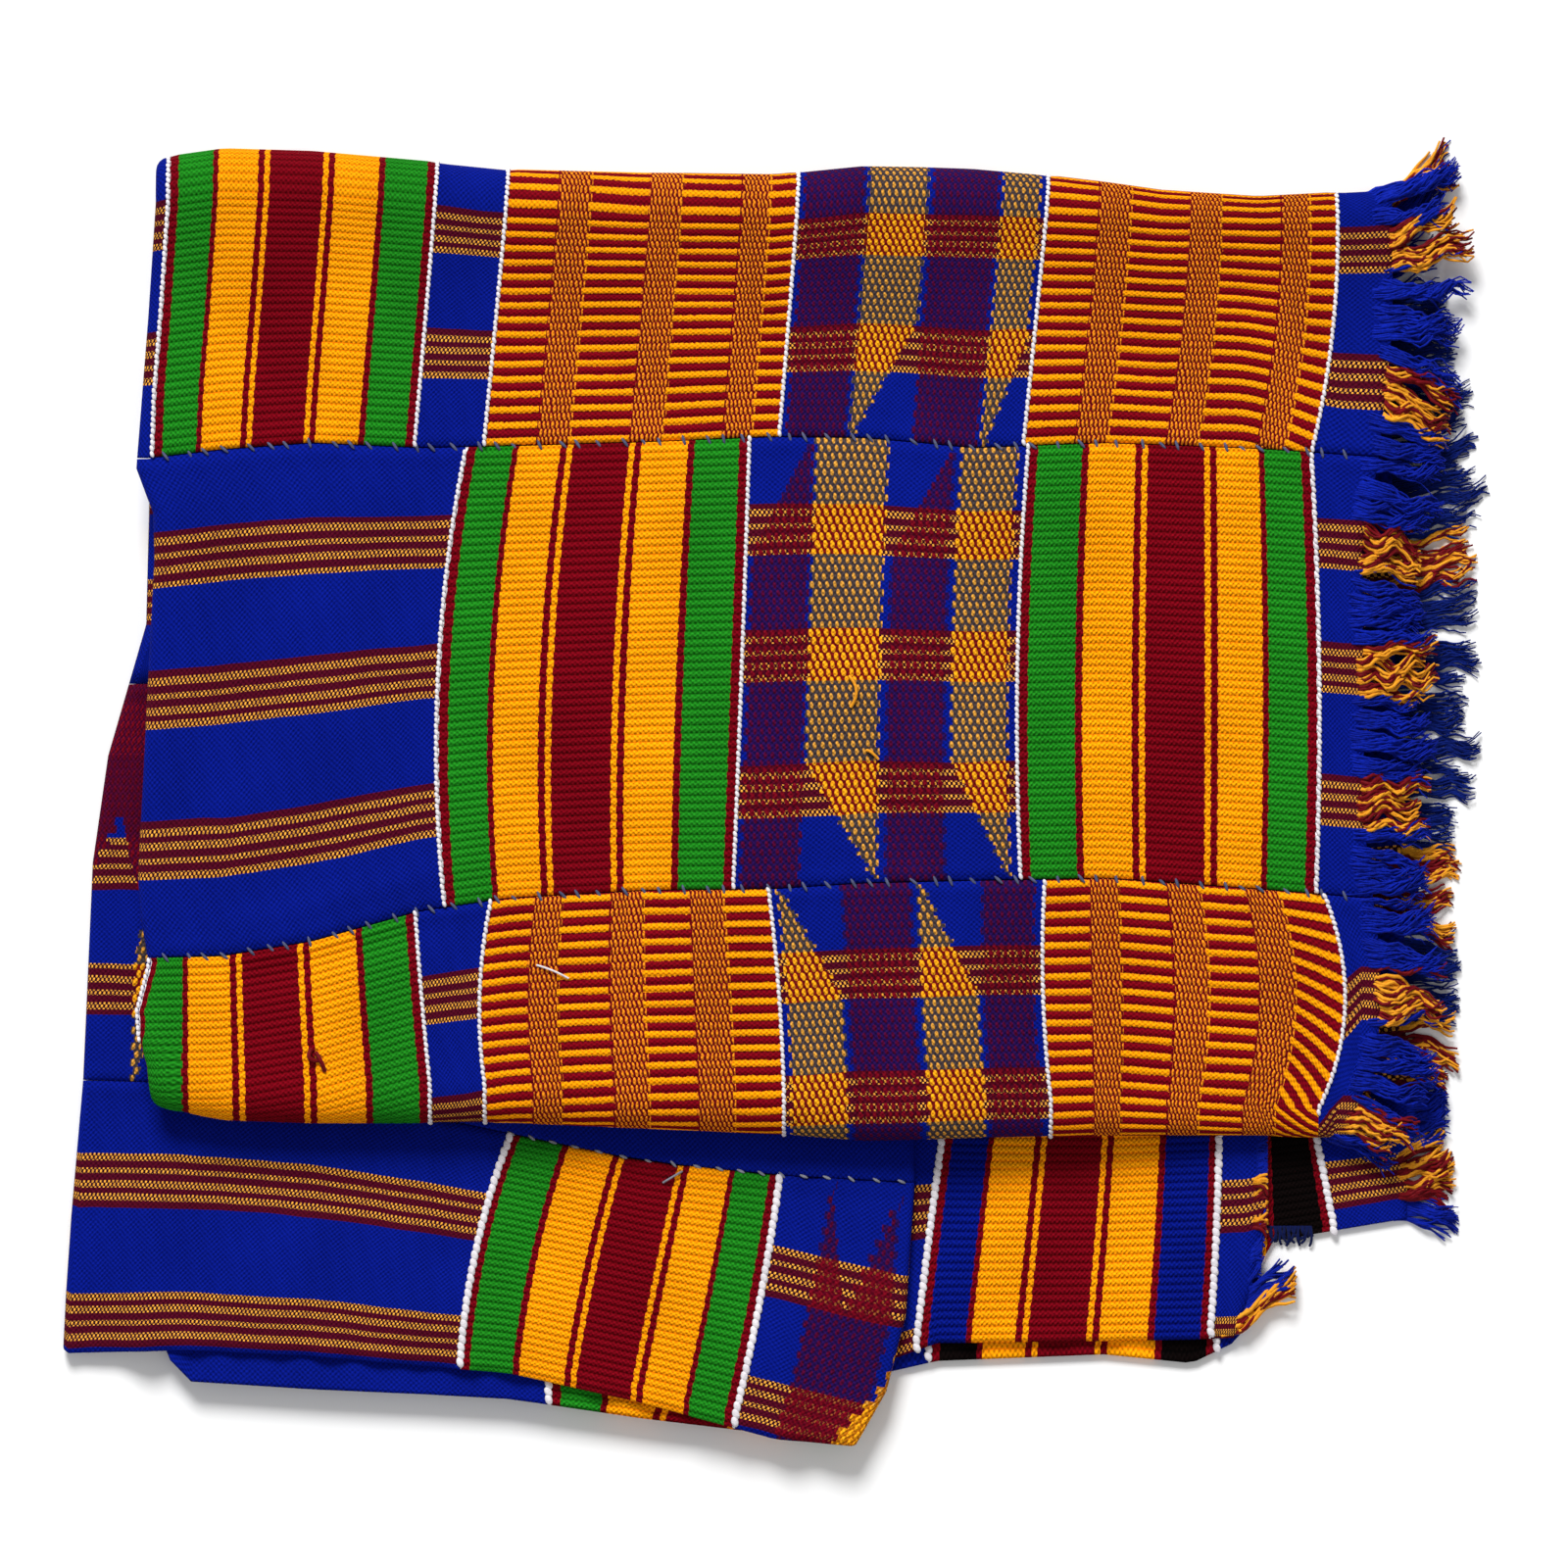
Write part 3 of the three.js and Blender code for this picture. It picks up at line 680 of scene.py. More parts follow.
class Graph:
    """Adds nodes to a shader or geometry tree and links them."""

    def __init__(self, tree: NodeTree) -> None:
        """Keeps the tree that the nodes go into."""
        self.tree = tree

    def node(self, kind: str, **settings: object) -> bpy.types.Node:
        """Adds a node and sets its properties."""
        made = self.tree.nodes.new(kind)
        for name, value in settings.items():
            setattr(made, name, value)
        return made

    def feed(self, socket: NodeSocket, value: object) -> None:
        """Links a socket into an input, or sets the input's own value."""
        if isinstance(value, NodeSocket):
            self.tree.links.new(value, socket)
        else:
            socket.default_value = value

    def step(self, kind: str, inputs: dict[str | int, object], **settings: object) -> NodeSocket:
        """Adds a node and feeds its inputs.

        Args:
            kind: The node's type.
            inputs: What goes into each input, by its name or number.
            settings: The node's own properties.

        Returns:
            The node's first output.
        """
        made = self.node(kind, **settings)
        for key, value in inputs.items():
            self.feed(made.inputs[key], value)
        return made.outputs[0]

    def math(self, operation: str, *values: Value, clamp: bool = False) -> NodeSocket:
        """One step of arithmetic.

        Args:
            operation: The Math node's operation.
            values: Its inputs, numbers or sockets.
            clamp: Whether the result stays between 0 and 1.

        Returns:
            The result.
        """
        return self.step("ShaderNodeMath", dict(enumerate(values)), operation=operation, use_clamp=clamp)

    def blend(self, share: Value, low: object, high: object, kind: str = "MIX") -> NodeSocket:
        """Mixes two colours.

        Args:
            share: How much of the second colour there is.
            low: The first colour.
            high: The second colour.
            kind: The way in which they mix.

        Returns:
            The mixed colour.
        """
        made = self.node("ShaderNodeMix", data_type="RGBA", blend_type=kind)
        for number, value in ((0, share), (6, low), (7, high)):
            self.feed(made.inputs[number], value)
        return made.outputs[2]

    def bands(self, place: Value, stops: Sequence[tuple[float, Colour]]) -> NodeSocket:
        """Colours that change abruptly along a line.

        Args:
            place: The place along it, from 0 to 1.
            stops: The place at which each colour begins.

        Returns:
            The colour at the place.
        """
        made = self.node("ShaderNodeValToRGB")
        ramp = made.color_ramp
        ramp.interpolation = "CONSTANT"
        for index, (at, colour) in enumerate(stops):
            element = ramp.elements[index] if index < 2 else ramp.elements.new(at)
            element.position = at
            element.color = colour
        self.feed(made.inputs[0], place)
        return made.outputs[0]

    def vector(self, x: Value, y: Value, z: Value = 0.0) -> NodeSocket:
        """Joins three values into a vector."""
        return self.step("ShaderNodeCombineXYZ", {0: x, 1: y, 2: z})

    def noise(self, at: NodeSocket, scale: float, detail: float = 2.0) -> NodeSocket:
        """Soft noise around one half."""
        return self.step("ShaderNodeTexNoise", {"Vector": at, "Scale": scale, "Detail": detail})

    def drift(self, at: NodeSocket, scale: float, detail: float = 2.0) -> NodeSocket:
        """Soft noise around zero."""
        return self.math("SUBTRACT", self.noise(at, scale, detail), 0.5)

    def wave(self, place: Value, pitch: float) -> NodeSocket:
        """A sine of the given pitch, between -1 and 1."""
        return self.math("SINE", self.math("MULTIPLY", place, math.tau / pitch))

    def group(self, tree: NodeTree, **values: object) -> bpy.types.Node:
        """Places a node group with its own values."""
        made = self.node("ShaderNodeGroup", node_tree=tree)
        for name, value in values.items():
            self.feed(made.inputs[name], value)
        return made

    def read(self, name: str, kind: str) -> NodeSocket:
        """Reads an attribute of the mesh."""
        return self.step("GeometryNodeInputNamedAttribute", {"Name": name}, data_type=kind)

    def shade(self, colour: NodeSocket, height: NodeSocket, surface: Surface) -> None:
        """Adds the shader with its bump, and the material's output.

        Args:
            colour: The colour at each place.
            height: The height that the bump follows.
            surface: How the material takes light.
        """
        bump = {"Distance": surface.bump, "Strength": surface.strength, "Height": height}
        shader = self.step("ShaderNodeBsdfPrincipled", {
            "Base Color": colour,
            "Normal": self.step("ShaderNodeBump", bump),
            "Roughness": surface.roughness,
            "Specular IOR Level": surface.specular,
            "Sheen Weight": surface.sheen,
        })
        self.feed(self.node("ShaderNodeOutputMaterial").inputs[0], shader)


def new_material(name: str) -> tuple[Material, Graph]:
    """Starts a material with no nodes."""
    made = bpy.data.materials.new(name)
    made.use_nodes = True
    made.node_tree.nodes.clear()
    return made, Graph(made.node_tree)


def place_object(name: str, data: bpy.types.ID) -> Object:
    """Makes an object of a mesh, a light or a camera and puts it into the scene."""
    made = bpy.data.objects.new(name, data)
    bpy.context.scene.collection.objects.link(made)
    return made


def mark(mesh: Mesh, name: str, kind: str, values: Array) -> None:
    """Puts an attribute on the points of a mesh.

    Args:
        mesh: The mesh.
        name: The attribute's name.
        kind: Its type, one of FLOAT, INT and FLOAT_VECTOR.
        values: Its value on each point.
    """
    number = np.int32 if kind == "INT" else np.float32
    key = "vector" if kind == "FLOAT_VECTOR" else "value"
    mesh.attributes.new(name, kind, "POINT").data.foreach_set(key, np.asarray(values).astype(number).ravel())


VALUE = "NodeSocketFloat"
COLOUR = "NodeSocketColor"
GEOMETRY = {"Geometry": "NodeSocketGeometry"}
TONES = ("blue_yarn", "gold_yarn", "maroon_yarn")


def new_group(
    name: str, inputs: dict[str, str], outputs: dict[str, str], kind: str = "ShaderNodeTree"
) -> tuple[Graph, dict[str, NodeSocket], dict[str, NodeSocket]]:
    """Starts a node group.

    Args:
        name: The group's name.
        inputs: The type of each input, by name.
        outputs: The type of each output, by name.
        kind: The type of the group's tree.

    Returns:
        The graph to add nodes to, its inputs by name, and the sockets its outputs are fed through.
    """
    tree = bpy.data.node_groups.new(name, kind)
    for way, sockets in (("INPUT", inputs), ("OUTPUT", outputs)):
        for title, socket in sockets.items():
            tree.interface.new_socket(title, in_out=way, socket_type=socket)
    graph = Graph(tree)
    start, end = graph.node("NodeGroupInput"), graph.node("NodeGroupOutput")
    return graph, {t: start.outputs[t] for t in inputs}, {t: end.inputs[t] for t in outputs}


@dataclass(frozen=True)
class WarpStripes:
    """The three groups of gold and maroon warp lines along every strip."""

    starts: tuple[float, ...] = (15.5, 45.5, 73.5)
    gold: float = 1.4
    maroon: float = 1.5
    pairs: int = 4

    def stops(self) -> list[tuple[float, Colour]]:
        """Where each warp colour begins, as shares of the strip's width."""
        made = [(0.0, BLUE)]
        for start in self.starts:
            for pair in range(self.pairs):
                at = start + pair * (self.gold + self.maroon)
                made.append((at / STRIP_WIDTH, PALE_GOLD))
                made.append(((at + self.gold) / STRIP_WIDTH, WARP_MAROON))
            made.append(((start + self.pairs * (self.gold + self.maroon)) / STRIP_WIDTH, BLUE))
        return made

    def tone(self, v: float) -> int:
        """The number of the yarn's colour at v: 0 for blue, 1 for gold, 2 for maroon."""
        for start in self.starts:
            pair, rest = divmod(v - start, self.gold + self.maroon)
            if 0 <= pair < self.pairs:
                return 1 if rest < self.gold else 2
        return 0


WARP = WarpStripes()


class Weaves:
    """The shader node groups that the woven materials share."""

    place = {"u": VALUE, "v": VALUE}

    def __init__(self) -> None:
        """Builds each group once."""
        self.warp = self._warp()
        self.cloth = self._cloth()
        self.floats = self._floats()
        self.column = self._column()

    def _warp(self) -> NodeTree:
        """Colour of the warp at a place across the strip, speckled where it is gold."""
        outputs = {"Color": COLOUR, "Height": VALUE, "Group": VALUE}
        graph, given, made = new_group("warp_lines", self.place, outputs)
        u, v = given["u"], given["v"]
        placed = graph.math("ADD", graph.drift(graph.vector(u, v), 0.05), v)
        colour = graph.bands(graph.math("DIVIDE", placed, STRIP_WIDTH), WARP.stops())
        parts = graph.node("ShaderNodeSeparateColor")
        graph.feed(parts.inputs[0], colour)
        is_gold = graph.math("GREATER_THAN", parts.outputs[1], 0.2)
        pair_pitch = (WARP.gold + WARP.maroon) / 2
        rows = graph.wave(graph.math("SUBTRACT", placed, WARP.starts[0]), pair_pitch)
        slant = graph.math("MULTIPLY", graph.wave(graph.math("MULTIPLY_ADD", v, 0.15, u), 1.0), rows)
        speckle = graph.math("MULTIPLY", graph.math("LESS_THAN", slant, 0.12), is_gold)
        graph.feed(made["Color"], graph.blend(speckle, colour, SPECKLE))
        graph.feed(made["Height"], graph.math("MULTIPLY", slant, 0.5))
        graph.feed(made["Group"], graph.math("LESS_THAN", parts.outputs[2], 0.15))
        return graph.tree

    def _cloth(self) -> NodeTree:
        """The over and under of single yarns, with painted shade where they dip under, their fuzz and slow changes
        of tone.
        """
        graph, given, made = new_group("yarn_cloth", self.place, {"Height": VALUE, "Tone": VALUE})
        u, v = given["u"], given["v"]
        at = graph.vector(u, v)
        over = graph.math("MULTIPLY", graph.wave(u, 1.25), graph.wave(v, 1.1))
        fuzz = graph.noise(at, 2.4, 4.0)
        slow = graph.noise(at, 0.045, 3.0)
        height = graph.math("MULTIPLY_ADD", over, 0.5, fuzz)
        # Painted shade: darker where the yarns dip under, with random fuzz on top
        tone = graph.math("MULTIPLY_ADD", over, 0.42, graph.math("MULTIPLY_ADD", fuzz, 0.8, 0.28))
        graph.feed(made["Height"], height)
        graph.feed(made["Tone"], graph.math("MULTIPLY_ADD", slow, 0.5, tone))
        return graph.tree

    def _floats(self) -> NodeTree:
        """Staggered oval floats of the pattern yarn."""
        inputs = dict.fromkeys(("u", "v", "pitch_along", "pitch_across", "size"), VALUE)
        graph, given, made = new_group("pattern_floats", inputs, {"Mask": VALUE, "Height": VALUE})
        u, v = given["u"], given["v"]
        drift = graph.drift(graph.vector(u, v), 0.35, 1.0)
        across = graph.math("DIVIDE", v, given["pitch_across"])
        row = graph.math("FLOOR", across)
        shift = graph.math("MULTIPLY", graph.math("MODULO", row, 2.0), 0.5)
        along = graph.math("DIVIDE", graph.math("MULTIPLY_ADD", drift, 0.7, u), given["pitch_along"])
        y = graph.math("SUBTRACT", graph.math("FRACT", across), 0.5)
        x = graph.math("SUBTRACT", graph.math("FRACT", graph.math("ADD", along, shift)), 0.5)
        leaned = graph.math("MULTIPLY_ADD", y, 0.15, x)
        legs = (graph.math("MULTIPLY", leaned, 1.6), graph.math("MULTIPLY", y, 0.91))
        oval = graph.math("ADD", *(graph.math("POWER", leg, 2.0) for leg in legs))
        near = graph.math("SUBTRACT", given["size"], graph.math("SQRT", oval))
        graph.feed(made["Mask"], graph.math("MULTIPLY", near, 14.0, clamp=True))
        graph.feed(made["Height"], graph.math("MULTIPLY", near, 3.0, clamp=True))
        return graph.tree

    def _column(self) -> NodeTree:
        """One column of a motif: full in its length, with one edge that steps away to a point."""
        titles = ("p", "v", "left", "right", "full_from", "point_at", "tip", "step")
        graph, given, made = new_group("motif_column", dict.fromkeys(titles, VALUE), {"Mask": VALUE})
        steps = graph.math("ROUND", graph.math("DIVIDE", given["v"], given["step"]))
        stepped = graph.math("MULTIPLY", steps, given["step"])
        run = graph.math("SUBTRACT", given["point_at"], given["full_from"])
        share = graph.math("DIVIDE", graph.math("SUBTRACT", stepped, given["full_from"]), run, clamp=True)
        width = graph.math("SUBTRACT", given["right"], given["left"])
        cut = graph.math("MULTIPLY", share, width)
        left_cut = graph.math("MULTIPLY", cut, given["tip"])
        right_cut = graph.math("SUBTRACT", cut, left_cut)
        inside = graph.math("GREATER_THAN", given["p"], graph.math("ADD", given["left"], left_cut))
        before = graph.math("LESS_THAN", given["p"], graph.math("SUBTRACT", given["right"], right_cut))
        graph.feed(made["Mask"], graph.math("MULTIPLY", inside, before))
        return graph.tree


@dataclass(frozen=True)
class Column:
    """A column of pattern floats in a motif, by shares of the motif's width.

    Each of its ends has three numbers. From the first to the second, both places across the strip,
    the column narrows to a point. The third is where the point lies, from 0 at the column's left edge
    to 1 at its right.
    """

    left: float
    right: float
    is_gold: bool
    ends: tuple[tuple[float, float, float], ...] = ((200.0, 300.0, 0.0),)


MOTIFS = {
    Section.UPPER_MOTIF: (
        Column(0.028, 0.268, False),
        Column(0.284, 0.522, True, ((28.0, -2.0, 0.0),)),
        Column(0.544, 0.804, False),
        Column(0.823, 0.971, True, ((24.0, -3.0, 0.0),)),
    ),
    Section.MIDDLE_MOTIF: (
        Column(0.022, 0.228, False, ((74.0, 100.0, 1.0),)),
        Column(0.240, 0.500, True, ((28.0, 0.0, 1.0),)),
        Column(0.530, 0.738, False, ((74.0, 100.0, 1.0),)),
        Column(0.762, 0.965, True, ((28.0, 0.0, 1.0),)),
    ),
    Section.LOWER_MOTIF: (
        Column(0.030, 0.240, True, ((74.0, 101.0, 0.0),)),
        Column(0.262, 0.515, False),
        Column(0.540, 0.755, True, ((74.0, 101.0, 0.0),)),
        Column(0.775, 0.965, False),
    ),
    Section.FLAP_MOTIF: (
        Column(0.160, 0.284, False, ((29.0, -1.0, 0.25),)),
        Column(0.282, 0.440, False, ((26.0, -1.0, 0.97),)),
        Column(0.392, 0.640, True, ((54.0, 10.5, 1.0),)),
    ),
    Section.MARGIN_MOTIF: (
        Column(-0.100, 0.074, False, ((40.0, 64.0, 0.0),)),
        Column(0.074, 0.260, False, ((40.0, 66.0, 0.75),)),
        Column(0.160, 0.210, True, ((74.0, 56.0, 1.0), (90.0, 106.0, 0.0))),
    ),
}

# How wide each colour of a stripe block is, from one end to the other, with None for the flanks
STRIPE_ORDER = (
    (0.5, WHITE), (1.9, MAROON), (8.8, None), (1.4, MAROON), (9.9, GOLD), (1.5, MAROON), (1.4, GOLD),
    (13.3, MAROON), (1.4, GOLD), (1.5, MAROON), (11.0, GOLD), (1.6, MAROON), (10.4, None), (2.1, MAROON),
    (0.5, WHITE),
)


@dataclass(frozen=True)
class Basket:
    """A block of rows: how wide its plain rows and its checked bands are in turn, and the row pitch."""

    widths: tuple[float, ...]
    pitch: float


BASKETS = {
    Section.UPPER_BASKET: Basket((12.0, 7.2, 13.6, 7.5, 13.6, 6.6, 6.4), 3.65),
    Section.LOWER_BASKET: Basket((10.4, 6.6, 11.3, 7.5, 10.8, 8.0, 10.8), 3.5),
}

# The colour of the flanks of each stripe block
FLANKS = {Section.GREEN_STRIPES: GREEN, Section.BLUE_STRIPES: BLUE, Section.BLACK_STRIPES: BLACK}


class WovenFinish:
    """Makes the material of each woven section."""

    rib_pitch = 1.74
    float_length = 1.64
    float_row = 1.79
    ground_length = 100.0
    motif_length = 60.0
    stripe_length = sum(width for width, _ in STRIPE_ORDER)

    def __init__(self, weaves: Weaves) -> None:
        """Keeps the shared groups and makes a material for each section."""
        self.weaves = weaves
        self.materials: list[Material] = []
        for section in Section:
            if section is Section.GROUND:
                made = self._ground()
            elif section in FLANKS:
                made = self._stripes(section, FLANKS[section])
            elif section in BASKETS:
                made = self._basket(section, BASKETS[section])
            else:
                made = self._motif(section, MOTIFS[section])
            self.materials.append(made)

    def _start(
        self, section: Section, length: float
    ) -> tuple[Material, Graph, NodeSocket, NodeSocket, NodeSocket]:
        """Starts a woven material.

        Args:
            section: The section that it is for.
            length: The length of one repeat of the section along the strip.

        Returns:
            The material, its graph, the share along the section, and u and v in millimetres.
        """
        made, graph = new_material(f"woven_{section.name.lower()}")
        parts = graph.node("ShaderNodeSeparateXYZ")
        graph.feed(parts.inputs[0], graph.node("ShaderNodeUVMap", uv_map=WEAVE_MAP).outputs[0])
        share, across = parts.outputs[:2]
        u = graph.math("MULTIPLY", share, length)
        return made, graph, share, u, graph.math("MULTIPLY", across, STRIP_WIDTH)

    def _end(self, graph: Graph, colour: NodeSocket, height: NodeSocket, u: NodeSocket, v: NodeSocket) -> None:
        """Adds the single yarns, the painted shade that the mesh carries, and the shader with its bump.

        Args:
            graph: The material's graph.
            colour: The colour of the pattern.
            height: The pattern's own height, about 0 to 1.
            u: The place along the strip.
            v: The place across the strip.
        """
        yarn = graph.group(self.weaves.cloth, u=u, v=v)
        # Painted shade: the mesh's attribute darkens the colour, on the upper strip towards its top fold
        painted_shade = graph.node("ShaderNodeAttribute", attribute_name=PAINTED_SHADE).outputs["Fac"]
        tone = graph.math("MULTIPLY", yarn.outputs["Tone"], painted_shade)
        painted_shading = graph.step("ShaderNodeHueSaturation", {"Value": tone, "Color": colour})
        graph.shade(painted_shading, graph.math("MULTIPLY_ADD", yarn.outputs["Height"], 0.45, height), COTTON)

    def _ground(self) -> Material:
        """Plain blue ground with its warp lines."""
        made, graph, _, u, v = self._start(Section.GROUND, self.ground_length)
        warp = graph.group(self.weaves.warp, u=u, v=v)
        self._end(graph, warp.outputs["Color"], graph.math("MULTIPLY", warp.outputs["Height"], 0.4), u, v)
        return made

    def _stripes(self, section: Section, flank: Colour) -> Material:
        """A block of bands across the strip, beaten so close that it lies in ribs.

        Args:
            section: The block's section.
            flank: The colour of its flanks.

        Returns:
            The material.
        """
        made, graph, share, u, v = self._start(section, self.stripe_length)
        stops, at = [], 0.0
        for width, colour in STRIPE_ORDER:
            stops.append((at / self.stripe_length, colour or flank))
            at += width
        ribs = graph.wave(v, 2 * self.rib_pitch)
        rib, step = graph.math("ABSOLUTE", ribs), graph.math("SIGN", ribs)
        scallop = graph.math("MULTIPLY_ADD", step, 0.10 / self.stripe_length, share)
        colour = graph.blend(graph.math("LESS_THAN", share, 0.0), graph.bands(scallop, stops), BLUE)
        hatch = graph.wave(graph.math("MULTIPLY_ADD", v, 0.55, u), 0.95)
        # Painted shade: the colour darkens in the furrows between ribs, and faintly along a slanting hatch
        shade = graph.math("MULTIPLY_ADD", hatch, 0.10, graph.math("POWER", rib, 0.35))
        furrow_shade = graph.step("ShaderNodeGamma", {"Color": colour, "Gamma": 1.7})
        colour = graph.blend(graph.math("MULTIPLY", shade, 1.0, clamp=True), furrow_shade, colour)
        self._end(graph, colour, graph.math("MULTIPLY_ADD", hatch, 0.25, rib), u, v)
        return made

    def _basket(self, section: Section, basket: Basket) -> Material:
        """A block of gold and maroon rows with bands of small checks across them.

        Args:
            section: The block's section.
            basket: Its rows and bands.

        Returns:
            The material.
        """
        length = sum(basket.widths)
        made, graph, share, u, v = self._start(section, length)
        stops, at = [], 0.0
        for index, width in enumerate(basket.widths):
            stops.append((at / length, (index % 2, index % 2, index % 2, 1.0)))
            at += width
        fray = graph.drift(graph.vector(u, graph.math("MULTIPLY", v, 0.3)), 2.0)
        drift = graph.drift(graph.vector(u, v), 0.04, 1.0)
        row = graph.math("MULTIPLY_ADD", fray, 0.9, graph.math("MULTIPLY_ADD", drift, 1.2, v))
        phase = graph.wave(row, basket.pitch)
        gold_row = graph.math("MULTIPLY_ADD", phase, 5.0, -0.6, clamp=True)
        swell = graph.math("ABSOLUTE", graph.wave(v, basket.pitch))
        # Painted shade: each row darkens towards the furrows between rows
        depth = graph.math("MULTIPLY_ADD", graph.math("POWER", swell, 0.5), 0.5, 0.5, clamp=True)
        rows = graph.blend(gold_row, MAROON, ROW_GOLD)
        shaded = graph.blend(depth, graph.blend(0.5, rows, DARK_MAROON), rows)
        wobble = graph.drift(graph.vector(u, v), 0.25, 1.0)
        check = graph.group(self.weaves.floats, u=graph.math("MULTIPLY_ADD", wobble, 0.9, u), v=v,
                            pitch_along=0.98, pitch_across=basket.pitch / 2, size=0.5)
        checks = graph.blend(check.outputs["Mask"], CHECK_MAROON, ORANGE)
        edge = graph.math("MULTIPLY_ADD", graph.math("SIGN", phase), 0.3 / length, share)
        in_band = graph.bands(edge, stops)
        colour = graph.blend(in_band, shaded, checks)
        height = graph.blend(in_band, swell, check.outputs["Height"])
        self._end(graph, colour, height, u, v)
        return made

    def _motif(self, section: Section, columns: Sequence[Column]) -> Material:
        """Ground with columns of gold and of maroon pattern floats that step down to points.

        Args:
            section: The motif's section.
            columns: The motif's columns, from left to right.

        Returns:
            The material.
        """
        made, graph, share, u, v = self._start(section, self.motif_length)
        warp = graph.group(self.weaves.warp, u=u, v=v)
        group = warp.outputs["Group"]
        is_margin, is_flap = section is Section.MARGIN_MOTIF, section is Section.FLAP_MOTIF
        size = graph.math("MULTIPLY_ADD", group, 0.09, 0.42)
        floats = graph.group(self.weaves.floats, u=u, v=v, pitch_along=self.float_length,
                             pitch_across=self.float_row, size=size)
        over = floats.outputs["Mask"]
        colour = warp.outputs["Color"]
        height = graph.math("MULTIPLY", warp.outputs["Height"], 0.3)
        under_gold = UNDER_GOLD if is_flap else graph.blend(group, UNDER_GREY, UNDER_MAROON)
        gold_colour = graph.blend(over, under_gold, graph.blend(group, DULL_GOLD, BRIGHT_GOLD))
        plain, open_weave = (MARGIN_PLUM, MARGIN_VIOLET) if is_margin else (PLUM, VIOLET)
        seam = graph.math("LESS_THAN", graph.math("FRACT", graph.math("DIVIDE", v, 2 * self.float_row)), 0.18)
        float_colour = graph.blend(group, plain, FLOAT_MAROON)
        pattern = graph.blend(graph.math("MULTIPLY", seam, 0.45), float_colour, DARK_MAROON)
        dotted = graph.blend(0.8, colour, DOTTED_MAROON) if is_flap else graph.blend(0.3, colour, DARK_MAROON)
        gaps = open_weave if is_margin else graph.blend(group, open_weave, dotted)
        maroon_colour = graph.blend(over, gaps, pattern)
        jitter = graph.math("SUBTRACT", graph.noise(graph.vector(0.0, v), 0.5, 1.0), 1.0)
        brick = graph.math("MODULO", graph.math("FLOOR", graph.math("DIVIDE", v, self.float_row)), 2.0)
        placed = graph.math("MULTIPLY_ADD", jitter, 0.012, graph.math("MULTIPLY_ADD", brick, 0.012, share))
        for column in columns:
            inside = 1.0
            for full_from, point_at, tip in column.ends:
                mask = graph.group(self.weaves.column, p=placed, v=v, left=column.left, right=column.right,
                                   full_from=full_from, point_at=point_at, tip=tip,
                                   step=self.float_row * (1 if column.is_gold and not is_flap else 2))
                inside = graph.math("MULTIPLY", mask.outputs["Mask"], inside)
            colour = graph.blend(inside, colour, gold_colour if column.is_gold else maroon_colour)
            rise = graph.math("MULTIPLY", floats.outputs["Height"], inside)
            height = graph.math("MULTIPLY_ADD", rise, 1.0 if column.is_gold else 0.6, height)
        self._end(graph, colour, height, u, v)
        return made


@dataclass(frozen=True)
class YarnFinish:
    """A spun yarn: its colour, a darker tone that is painted shade in its fibre furrows and random in patches, and
    how it takes light.
    """

    name: str
    colour: Colour
    dark: Colour
    roughness: float = 0.75
    specular: float = 0.06
    sheen: float = 0.04
    bump: float = 0.0002
    grain: float = 1400.0

    def material(self) -> Material:
        """Makes the yarn's material on Object coordinates."""
        made, graph = new_material(self.name)
        at = graph.node("ShaderNodeTexCoord").outputs["Object"]
        fibre = graph.noise(at, self.grain, 3.0)
        patch = graph.noise(at, self.grain / 12, 2.0)
        patch = graph.math("MULTIPLY_ADD", patch, 0.7, -0.3)
        # Painted shade where the fibre bump is low, mixed with random patches of tone
        share = graph.math("MULTIPLY_ADD", fibre, 0.9, patch, clamp=True)
        surface = Surface(self.roughness, self.specular, self.sheen, self.bump, 1.0)
        graph.shade(graph.blend(share, self.dark, self.colour), fibre, surface)
        return made


WHITE_THREAD = YarnFinish("white_thread", WHITE, srgb(190, 184, 190), 0.6)
SLATE_THREAD = YarnFinish("slate_thread", srgb(100, 106, 138), srgb(40, 44, 70), 0.6)
GREY_THREAD = YarnFinish("grey_thread", srgb(158, 160, 172), srgb(86, 90, 106), 0.6)
BLUE_YARN = YarnFinish("blue_yarn", srgb(5, 36, 178), srgb(1, 7, 76))
GOLD_YARN = YarnFinish("gold_yarn", srgb(250, 176, 44), srgb(190, 110, 14), 0.5)
MAROON_YARN = YarnFinish("maroon_yarn", srgb(128, 9, 20), srgb(62, 2, 10), 0.5)
SHADED_BLUE_YARN = YarnFinish("shaded_blue_yarn", srgb(7, 34, 126), srgb(1, 8, 56))
# A darker copy of the blue yarn: painted shade on the frayed yarns that hang from the flap's lowest layer
SHADED_FRAY_YARN = YarnFinish("shaded_fray_yarn", srgb(12, 26, 84), srgb(4, 8, 36))


@dataclass
class Section2D:
    """The columns of a strip's mesh along its four layers, for every row across it."""

    x: Array
    level: Array
    layer: Array
    relief: Array
    section: Sequence[Section]
    first: Sequence[float]
    last: Sequence[float]
    picks: list[tuple[int, Face, float]]


